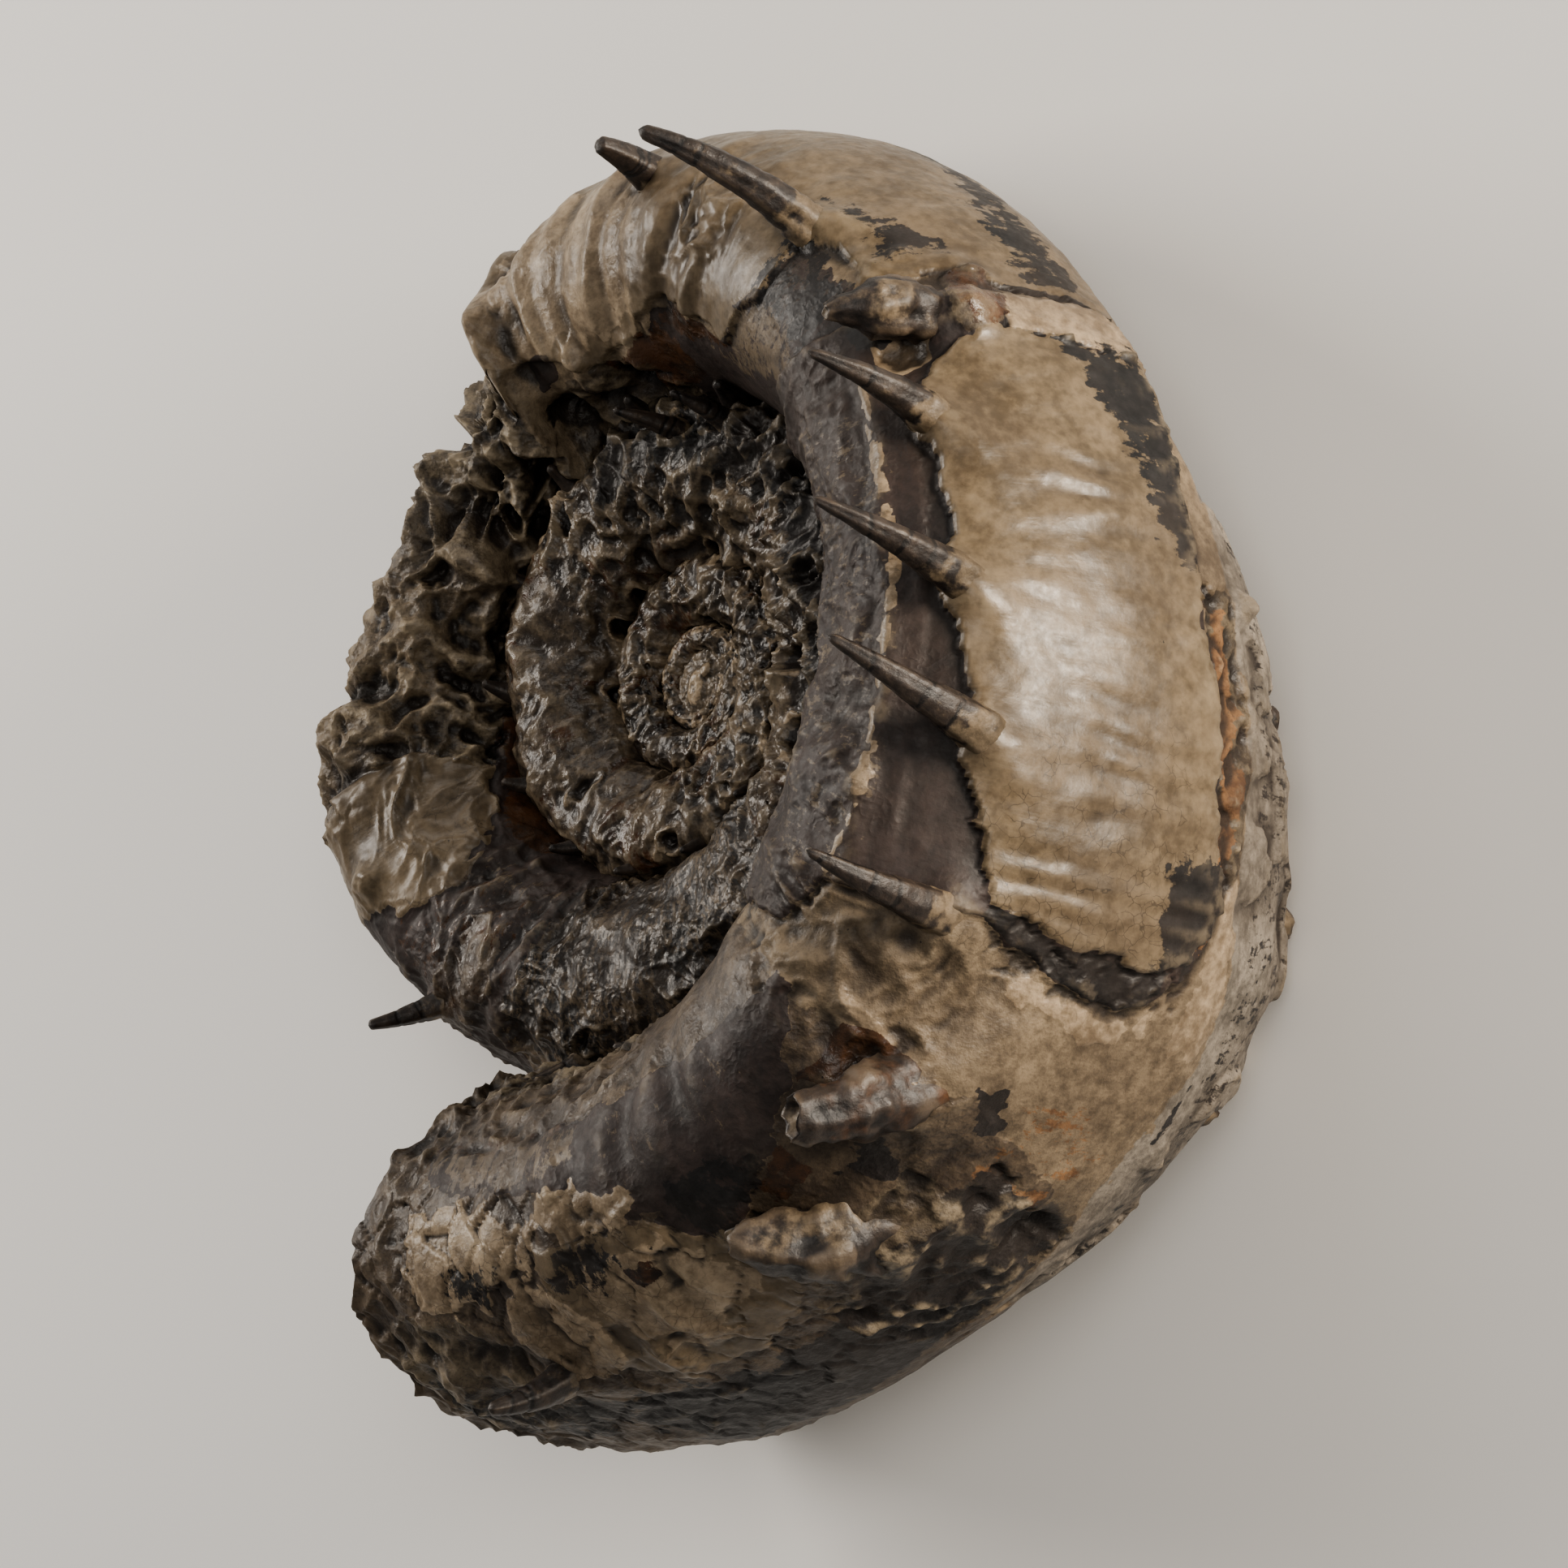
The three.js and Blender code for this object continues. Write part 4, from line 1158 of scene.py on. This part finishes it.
# Hollows between the inner whorls and beside their thorns: back, round, spread along and across, depth, in mm
CAVITIES = [
    (445, -14, 4.0, 3.6, 3.4),
    (463, -26, 3.6, 3.4, 3.2),
    (482, -6, 2.6, 2.4, 2.0),
    (496, -80, 3.2, 3.6, 2.4),
    (519, -78, 4.0, 4.0, 3.0),
    (540, -76, 3.4, 3.4, 2.6),
    (548, 14, 3.0, 3.0, 2.6),
    (561, 27, 3.4, 3.0, 2.8),
    (575, 34, 3.0, 4.0, 2.6),
    (592, -80, 4.0, 3.6, 2.6),
    (612, -78, 3.4, 3.4, 2.4),
    (645, -80, 3.4, 3.0, 2.2),
    (506, 20, 2.2, 2.2, 1.6),
    (594, 8, 2.4, 3.2, 2.0),
    (720, -72, 2.4, 2.4, 1.4),
    (742, 20, 2.0, 2.0, 1.2),
    (690, -20, 2.2, 2.6, 1.2),
]
INNER_WHORL_STARTS = {"second_whorl": 424, "inner_whorls": 640}


def cavities(back, round_, scaled):
    """How deep the inner whorls' hollows are, and where their rims stand up."""
    uneven, rim_patches = 0.3 * noise(scaled, 2.6, 80), smooth(-0.6, 0.6, noise(scaled, 4, 86))
    depths = np.zeros(uneven.shape)
    rims = np.zeros(uneven.shape)
    for at, beside, long, wide, depth in CAVITIES:
        x = (back - at) * np.radians(1) * radius_at(back) / long
        y = (round_ - beside) * np.radians(1) * 0.3 * radius_at(back) / wide
        away = np.hypot(x, y) + uneven
        depths = np.maximum(depths, smooth(1.0, 0.45, away) * depth)
        rims = np.maximum(rims, np.exp(-(((away - 1.12) / 0.16) ** 2)) * rim_patches)
    return depths, rims


def inner_relief(back, round_, scaled, size, smoother, sharded):
    """Crumpled folds, sharp shards and soft lumps of the inner whorls."""
    sharp = 1 - 0.45 * smoother
    lumpy = 1.9 * noise(scaled, 8, 66) + 0.9 * noise(scaled, 4, 69)
    lumpy += 0.5 * swirled_ridges(scaled, 4, 1.5, 82, 3.5, 3, 83)
    folds = (ribs(back, 13.5, 1.1 * noise(scaled, 9, 70)) ** 1.5 - 0.4) * smooth(-75, -20, round_)
    big_folds = 2.4 * swirled_ridges(scaled, 10, 4, 74, 13, 2, 75)
    shards, _ = cups(bent(scaled, 5, 2, 84), 4.6, 12)
    lift = sharp * (crinkled_shell(scaled, 1.15) + big_folds + 0.4 * folds) + (1.15 - sharp) * lumpy
    return size**1.2 * (0.8 + 0.2 * sharded) * (lift + 1.4 * sharded * (shards - 0.45))


def inner_whorls():
    """The inner whorls, crinkled all over, down to the first chamber."""
    rings = spaced(424, 1560, INNER_RINGS, lambda back: radius_at(back) ** 0.8)
    back = rings[:, None]
    spread = spaced(-180, 180, INNER_ROUND + 1, lambda at: 1 + 1.2 * span(at, -120, -95, 90, 115))
    round_ = spread[None, :-1]
    plain = section(back, round_).astype(np.float32)
    size = ((radius_at(rings) / 45) ** 0.6).astype(np.float32)[:, None]
    scaled = (plain / size[..., None]).astype(np.float32)
    smoother = span(back, 590, 640, 705, 745)
    sharded = span(back, 430, 450, 575, 610) + 0.5 * span(back, 740, 780, 900, 960)
    groove = np.exp(-(((round_ + 92) / 14) ** 2)) * (0.6 + 0.8 * noise(scaled, 7, 85))
    depths, rims = cavities(back, round_, scaled)
    lift = inner_relief(back, round_, scaled, size, smoother, sharded)
    lift += size * (0.7 * rims - 0.8 * groove) - depths

    rows, columns = max(1, int(7 * DETAIL)), max(1, int(6 * DETAIL))
    hollow = (lift - blurred(lift, rows, columns)) / (0.45 * size)
    flecks = smooth(0.25, 0.5, noise(scaled, 3.4, 76) + 0.35 * hollow)
    flecks *= span(round_, 5, 35, 60, 90) * (1 - smoother)
    crest_line = np.exp(-(((round_ - 25) / 18) ** 2)) * smooth(1120, 1230, back)
    buff = np.maximum(0.8 * flecks, 1.3 * crest_line * smooth(-0.6, 0.1, noise(scaled, 4, 77)))
    buff = np.clip(np.maximum(buff, 0.9 * rims), 0, 1)
    # painted shade: the deep cavities are painted black; the sharded stretch's inner side is black shell
    black = np.maximum(0.7 * smooth(0.5, 1.5, depths), 0.57 * sharded * smooth(-60, 0, round_))

    fields = {label: np.zeros(lift.shape) for label in FINISHES + STAINS}
    fields.update({"cream": buff, "crinkle": 1 - buff})
    fields.update(surface_grain(fields, plain))
    fields["creased"] = fields["creased"] * (1 - 0.45 * smoother)
    fields["crinkle"] = np.ones(lift.shape)
    # painted shade: the groove where the whorls meet is painted black as well
    fields["black"] = np.maximum(0.5 * groove, black) * (1 - 0.3 * smoother)
    fields["amber"] = 0.49 * smooth(-0.3, 0.3, noise(scaled, 10, 87))
    fields["film"] += 0.46
    fields["hollow"] = np.clip(hollow, -DEEPEST, DEEPEST)
    fields["along"] = np.broadcast_to(back * 0.5, lift.shape)
    fields["across"] = np.broadcast_to(round_ * 0.2, lift.shape)
    cut_pieces(INNER_WHORL_STARTS, rings, placed(section(back, round_, lift)), fields)


inner_whorls()


def first_chamber():
    """The first chamber: a crinkled disc in the middle of the coil with a pale, comma-shaped lump on it."""
    rings, around = int(56 * DETAIL), int(96 * DETAIL)
    radius, half_height = 5.4, 1.5
    tilt = np.linspace(0, math.pi, rings + 2)[1:-1, None]
    angle = np.linspace(0, 2 * math.pi, around, endpoint=False)[None, :]
    x, y = radius * np.sin(tilt) * np.cos(angle), radius * np.sin(tilt) * np.sin(angle)
    points = np.stack(np.broadcast_arrays(x, y, half_height * np.cos(tilt)), axis=-1).astype(np.float32)
    wrinkles = 0.45 * swirled_ridges(points, 2, 0.8, 78, 1.8, 3, 79)
    x, y, z = np.moveaxis(points, -1, 0)
    body = np.exp(-((((x - 0.2) / 1.5) ** 2 + ((y + 0.5) / 2.5) ** 2) ** 2))
    tail = np.exp(-((((x - 1.4) / 0.8) ** 2 + ((y - 2.2) / 1.0) ** 2) ** 2))
    comma = np.clip(body + tail, 0, 1) * (z > 0)
    points[..., 2] += np.where(z > 0, 0.7 * comma + wrinkles * (1 - 0.6 * comma), 0)
    poles = [[0, 0, half_height + 0.2], [0, 0, -half_height]]
    points = placed(np.vstack([points.reshape(-1, 3), poles]))
    top, last_ring = rings * around, (rings - 1) * around
    faces = tube_faces(rings, around).tolist()
    faces += [[top, (i + 1) % around, i] for i in range(around)]
    faces += [[last_ring + i, last_ring + (i + 1) % around, top + 1] for i in range(around)]
    fields = {label: np.zeros(len(points)) for label in FINISHES + STAINS + ["along", "across"]}
    fields["crinkle"] += 1
    fields["cream"] = np.append(comma.ravel(), [1, 0])
    fields["hollow"] = np.append(np.clip(wrinkles * 4, -1, 1).ravel(), [0, 0])
    fields.update({"fine": np.full(len(points), 0.4), "creased": np.full(len(points), 0.8)})
    mesh_piece("first_chamber", points, faces, fields, fossil_stone)


first_chamber()


def frame_along(directions):
    """Two crosswise directions at each point of a path, turning as little as possible."""
    sides = []
    side = np.cross(directions[0], (0.3, 0.5, 0.8))
    for way in directions:
        side = side - way * np.dot(side, way)
        side = side / np.linalg.norm(side)
        sides.append(side)
    sides = np.array(sides)
    return sides, np.cross(directions, sides)


def standing(at, beside):
    """How far the finished surface stands off the plain section at a spine's foot."""
    if at > backs[-1]:
        return 0.0
    column = np.argmin(np.abs(rounds - beside))
    return float(lift[np.argmin(np.abs(backs - at)), column])


def spine_line(at, beside, out, older, up, radii, rings, closing):
    """A spine's bowed middle line, its ways, where each ring is from root (0) to tip (1), and its length."""
    turn = math.radians(MOUTH_ANGLE + at)
    outward = np.array([math.cos(turn), math.sin(turn), 0])
    backward = np.array([-math.sin(turn), math.cos(turn), 0])
    foot = section(np.array(float(at)), np.array(float(beside)))
    facing = section(np.array(float(at)), np.array(float(beside)), 1.0) - foot
    base = foot + facing * np.clip(standing(at, beside) - 0.78 * radii[0], -1.2, 3.5)
    reach = foot + out * outward + older * backward + up * np.array([0, 0, 1]) - base
    length = np.linalg.norm(reach)
    start = -max(0.17, 0.9 * radii[0] / length)
    part_way = np.concatenate([np.linspace(start, 1, rings - closing), np.ones(closing)])[:, None]
    bow = facing - reach * np.dot(facing, reach) / length**2
    dive = BLUNT_DIVE if len(radii) == 3 else FINE_DIVE
    arch = np.where(part_way > 0, part_way * (1 - part_way), dive * part_way)
    path = base + reach * part_way + bow * (length * 0.1) * 4 * arch
    ways = np.gradient(path[: rings - closing], axis=0)
    ways = np.vstack([ways, np.repeat(ways[-1:], closing, axis=0)])
    return path, ways / np.linalg.norm(ways, axis=1, keepdims=True), part_way, length, facing


def spine_radius(part_way, radii, length):
    """A blunt spine's radius goes through a middle one, a fine one's runs out from a flared foot."""
    if len(radii) == 3:
        root, middle, end = radii
        sizes = [root, (root + middle) / 2, middle, (middle + 2 * end) / 3, end]
        radius = np.interp(part_way, [0, 0.25, 0.6, 0.9, 1], sizes)
    else:
        root, end = radii
        outside = np.maximum(part_way, 0)
        radius = end + (root - end) * (1 - outside) ** 0.85
        radius = radius + 0.08 * root * np.exp(-outside * length / (0.8 * root))
    # the root tapers off inside the shell
    start = part_way[0, 0]
    return radius * smooth(start - 0.01, 0.1 * start, part_way) ** 0.5


def spine_cracks(angle, along, length, number):
    """Three cracks across a spine, at a slant."""
    rng = np.random.default_rng(500 + number)
    cracks = np.zeros_like(along)
    for place in rng.uniform(0.12, 0.9, 3):
        slant = 0.5 * np.sin(angle + rng.uniform(0, 6))
        cracks = cracks + np.exp(-((((along - place) * length + slant) / 0.2) ** 2))
    return cracks


def spine(at, beside, out, older, up, number, radii, ridged=0.0, pale=0.3, honey=0.0, fine=True):
    """Points and fields of one spine or stump: curved, ridged, cracked across, widening into the shell."""
    rings, around = (72, 30) if fine else (26, 14)
    rings, around = int(rings * DETAIL**0.5), int(around * DETAIL**0.5)
    blunt = len(radii) == 3
    slender = fine and not blunt
    # the last rings of a blunt one close its broken end
    closing = 8 if blunt else 1
    inward = np.concatenate([np.ones(rings - closing), np.linspace(0.93, 0.06, closing)])[:, None]
    path, ways, part_way, length, facing = spine_line(at, beside, out, older, up, radii, rings, closing)
    radius = spine_radius(part_way, radii, length)
    one, two = frame_along(ways)
    along = np.clip(part_way, 0, 1)
    angle = np.linspace(0, 2 * math.pi, around, endpoint=False)[None, :]
    circle = np.cos(angle)[..., None] * one[:, None] + np.sin(angle)[..., None] * two[:, None]
    skin = (path[:, None] + circle * radius[..., None]).astype(np.float32)

    ridges = 0.05 * np.sin(angle * 4 + number) + 0.04 * np.sin(angle * 7 + 2.3 * number + 2 * along)
    lumps = noise(skin, 3.2, 30) * 0.08 + noise(skin, 1.1, 31) * 0.04
    if blunt:
        lumps = lumps + 0.26 * noise(skin, 6.5, 32) + 0.14 * noise(skin, 2.4, 35)
    if ridged:
        folds = np.abs(np.sin(1.5 * angle + number + 1.2 * part_way + 0.8 * noise(skin, 9, 36)))
        creases = swirled_ridges(skin, 5, 1.5, 38, 4.0, 2, 39) + 0.1
        ridges = ridges + ridged * (0.9 - folds**0.6) + 0.4 * ridged * creases
    cracks = spine_cracks(angle, along, length, number) if slender else 0
    close = 1 if blunt else np.sqrt(np.clip(1 - smooth(0.95, 1.0, along) ** 2, 0.0, 1))
    skin_radius = radius * (1 + ridges + lumps) * close - 0.10 * cracks * np.minimum(radius, 1)
    points = path[:, None] + circle * np.maximum(skin_radius * inward, 0.02)[..., None]
    grit = np.zeros(points.shape[:-1])
    if blunt:
        grit = noise(points.astype(np.float32), 1.6, 33) * smooth(0.86, 1.0, along)
        sunk = 0.9 * (1 - inward**2) * radii[-1]
        points = points + (grit * 0.9 - sunk)[..., None] * ways[:, None]

    # the side that faces up is painted paler, as a highlight where the light falls, and its underside stays
    # dark as painted shade
    upward = circle @ np.array((0.35, 0.1, 0.93))
    pale_root_and_lit_top = smooth(0.1, 0.8, upward + 2 * lumps) * pale * (1 - smooth(0.55, 1.0, along) * 0.5)
    pale_root_and_lit_top = np.maximum(pale_root_and_lit_top, 0.45 * (inward < 0.95) * (1 + grit))
    if slender:
        shell_tone = 1 - smooth(-0.02, 0.26, part_way + 0.2 * noise(skin, 2.0, 34) - 0.09 * (circle @ facing))
        pale_root_and_lit_top = np.maximum(pale_root_and_lit_top, 0.85 * shell_tone)
    # how each place stands: crests are painted paler as a highlight, and hollows, cracks and the closed
    # broken end darker as painted shade and dirt
    hollow = np.clip((ridges + lumps) * 5 + 1.5 * grit - 1.3 * cracks - 1.2 * (1 - inward), -DEEPEST, DEEPEST)
    honey_field = honey * (1 - smooth(0.75, 0.9, along)) * np.ones_like(hollow)
    return points, {"hollow": hollow, "pale_root_and_lit_top": np.broadcast_to(pale_root_and_lit_top, hollow.shape), "honey": honey_field}


def grown_spines():
    """The spines, stumps and thorns of the shown flank, and the reverse flank's worn stubs."""
    grown = [spine(*row[:5], i, row[5:7], honey=0.25) for i, row in enumerate(SPINES)]
    grown += [spine(*row[:5], 20 + i, row[5:8], *row[8:]) for i, row in enumerate(STUMPS)]
    for i, at in enumerate(THORNS):
        radius = float(radius_at(at))
        up = 0.12 * radius
        thorn = (at, THORN_ROUND, up / 4, -up / 4, up, 40 + i, (0.042 * radius, 0.014 * radius))
        grown.append(spine(*thorn, fine=False))
    for i, at in enumerate(REVERSE_STUBS):
        stub = (at, REVERSE_ROUND, 0.4, 0, -1.2, 80 + i, (2.5, 2.0, 1.3), 0.2, 0.8)
        grown.append(spine(*stub, fine=False))
    return grown


def spine_piece():
    """All the spines, stumps and thorns in one mesh."""
    points, faces = [], []
    numbers = {"hollow": [], "pale_root_and_lit_top": [], "honey": []}
    first = 0
    for grid, fields in grown_spines():
        rings, around = grid.shape[:2]
        tip = first + rings * around
        last_ring = tip - around
        faces += tube_faces(rings, around, first).tolist()
        faces += [[last_ring + (i + 1) % around, tip, last_ring + i] for i in range(around)]
        faces += [[first + i, tip + 1, first + (i + 1) % around] for i in range(around)]
        points.append(np.vstack([grid.reshape(-1, 3), grid[-1].mean(axis=0), grid[0].mean(axis=0)]))
        for label, values in fields.items():
            numbers[label].append(np.append(values.ravel(), [values[-1, 0], 0]))
        first = tip + 2
    fields = {label: np.concatenate(values) for label, values in numbers.items()}
    mesh_piece("spines", placed(np.vstack(points)), faces, fields, spine_stone)


spine_piece()


def mouth_piece():
    """The broken face of the mouth: rings drawn in from the rim, lumpy and crystalline."""
    edge = surface[0] / MM
    middle = edge.mean(axis=0)
    turn = math.radians(MOUTH_ANGLE)
    out = np.array(REST_TURN @ Vector((math.sin(turn), -math.cos(turn), 0)))
    steps = np.linspace(0, 1, int(46 * DETAIL))[:-1]
    rows = edge[None] + (middle - edge)[None] * steps[:, None, None]
    spot = rows.astype(np.float32)
    crag_out = 1.6 * rough(spot, 14, 2, 95) + 1.1 * (crests(spot, 6, 3, 97) - 0.5) + 1.4
    crag_out = crag_out + (crag_out[-1].mean() - crag_out) * smooth(0.8, 1, steps)[:, None]
    rows = rows + (crag_out * smooth(0, 0.06, steps)[:, None])[..., None] * out
    points = np.vstack([rows.reshape(-1, 3), middle + out * crag_out[-1].mean()])
    points[:, 2] = np.maximum(points[:, 2], 0)
    around = len(edge)
    tip = len(steps) * around
    last_ring = tip - around
    faces = tube_faces(len(steps), around).tolist()
    faces += [[last_ring + i, tip, last_ring + (i + 1) % around] for i in range(around)]
    fields = {label: np.zeros(len(points)) for label in FINISHES + STAINS}
    fields["wall"] = np.append(np.repeat(1 - smooth(0.03, 0.07, steps), around), 0)
    crag_hollow = (crag_out - blurred(crag_out, 3, 4)) / 1.2
    fields["hollow"] = np.append(np.clip(crag_hollow, -DEEPEST, DEEPEST).ravel(), 0)
    fields.update({"fine": np.full(len(points), 0.5), "creased": np.full(len(points), 0.2)})
    mesh_piece("broken_mouth", points * MM, faces, fields, fossil_stone)


mouth_piece()


# Floor, light and camera
FLOOR_HALF = 3
FLOOR_DROP = 0.1 * MM
LIGHT_AIM = Vector((0, 0, 0.04))
# name, direction, distance and size in metres, power in watts, colour
LIGHTS = [
    ("key", (0.86, 0.52, 0.1), 0.95, (0.42, 0.2), 13.0, (1, 0.9, 0.78)),
    ("fill", (0.6, 0.25, 1.0), 1.1, (0.45, 0.45), 2.6, (1, 0.96, 0.91)),
    ("overhead", (-0.35, 0.88, 0.5), 1.25, (0.7, 0.6), 2.6, (1, 0.97, 0.93)),
    ("side", (-0.86, 0.12, 0.47), 0.9, (0.5, 0.36), 6.0, (1, 0.94, 0.87)),
]


def studio_floor():
    """A plain pale surface under the fossil."""
    mesh = bpy.data.meshes.new("floor")
    corners = [(-1, -1), (1, -1), (1, 1), (-1, 1)]
    mesh.from_pydata([(x * FLOOR_HALF, y * FLOOR_HALF, -FLOOR_DROP) for x, y in corners], [], [(0, 1, 2, 3)])
    floor = bpy.data.objects.new("floor", mesh)
    bpy.context.scene.collection.objects.link(floor)
    material = bpy.data.materials.new("Pale floor")
    material.use_nodes = True
    shader = material.node_tree.nodes["Principled BSDF"]
    shader.inputs["Base Color"].default_value = (0.8, 0.785, 0.76, 1)
    shader.inputs["Roughness"].default_value = 0.9
    mesh.materials.append(material)


def soft_light(name, direction, distance, size, power, colour):
    """A square soft box that looks at the fossil."""
    lamp = bpy.data.lights.new(name, "AREA")
    lamp.shape = "RECTANGLE"
    lamp.size, lamp.size_y = size
    lamp.energy = power
    lamp.color = colour
    holder = bpy.data.objects.new(name, lamp)
    way = Vector(direction).normalized()
    holder.location = LIGHT_AIM + way * distance
    holder.rotation_euler = way.to_track_quat("Z", "Y").to_euler()
    bpy.context.scene.collection.objects.link(holder)


studio_floor()
for light in LIGHTS:
    soft_light(*light)

world = bpy.data.worlds.new("studio")
world.use_nodes = True
world.node_tree.nodes["Background"].inputs["Color"].default_value = (1, 0.98, 0.95, 1)
world.node_tree.nodes["Background"].inputs["Strength"].default_value = 0.22
bpy.context.scene.world = world
bpy.context.scene.view_settings.look = "AgX - Medium High Contrast"

# The photograph's view: 47 degrees off the coil's axis, towards its +X side, and rolled by 12 degrees
OFF_AXIS = math.radians(47)
ROLL = math.radians(12)
IMAGE_SIZE = 1932
MM_PER_PIXEL = 0.108
CENTRE_PIXEL = (868, 845)
CAMERA_DISTANCE = 1000
SENSOR = 36
towards_camera = Vector((math.sin(OFF_AXIS), 0, math.cos(OFF_AXIS)))
level = Vector((math.cos(OFF_AXIS), 0, -math.sin(OFF_AXIS)))
upright = Vector((0, 1, 0))
right = math.cos(ROLL) * level + math.sin(ROLL) * upright
above = math.cos(ROLL) * upright - math.sin(ROLL) * level
aim_right = (IMAGE_SIZE / 2 - CENTRE_PIXEL[0]) * MM_PER_PIXEL
aim_above = (CENTRE_PIXEL[1] - IMAGE_SIZE / 2) * MM_PER_PIXEL
eye = right * aim_right + above * aim_above + towards_camera * CAMERA_DISTANCE
lens = bpy.data.cameras.new("camera")
lens.sensor_width = SENSOR
lens.lens = SENSOR * CAMERA_DISTANCE / (IMAGE_SIZE * MM_PER_PIXEL)
lens.clip_start = 0.05
camera = bpy.data.objects.new("camera", lens)
axes = Matrix([REST_TURN @ axis for axis in (right, above, towards_camera)]).transposed().to_4x4()
camera.matrix_world = Matrix.Translation((REST_TURN @ eye + COIL_PLACE) * MM) @ axes
bpy.context.scene.collection.objects.link(camera)
bpy.context.scene.camera = camera
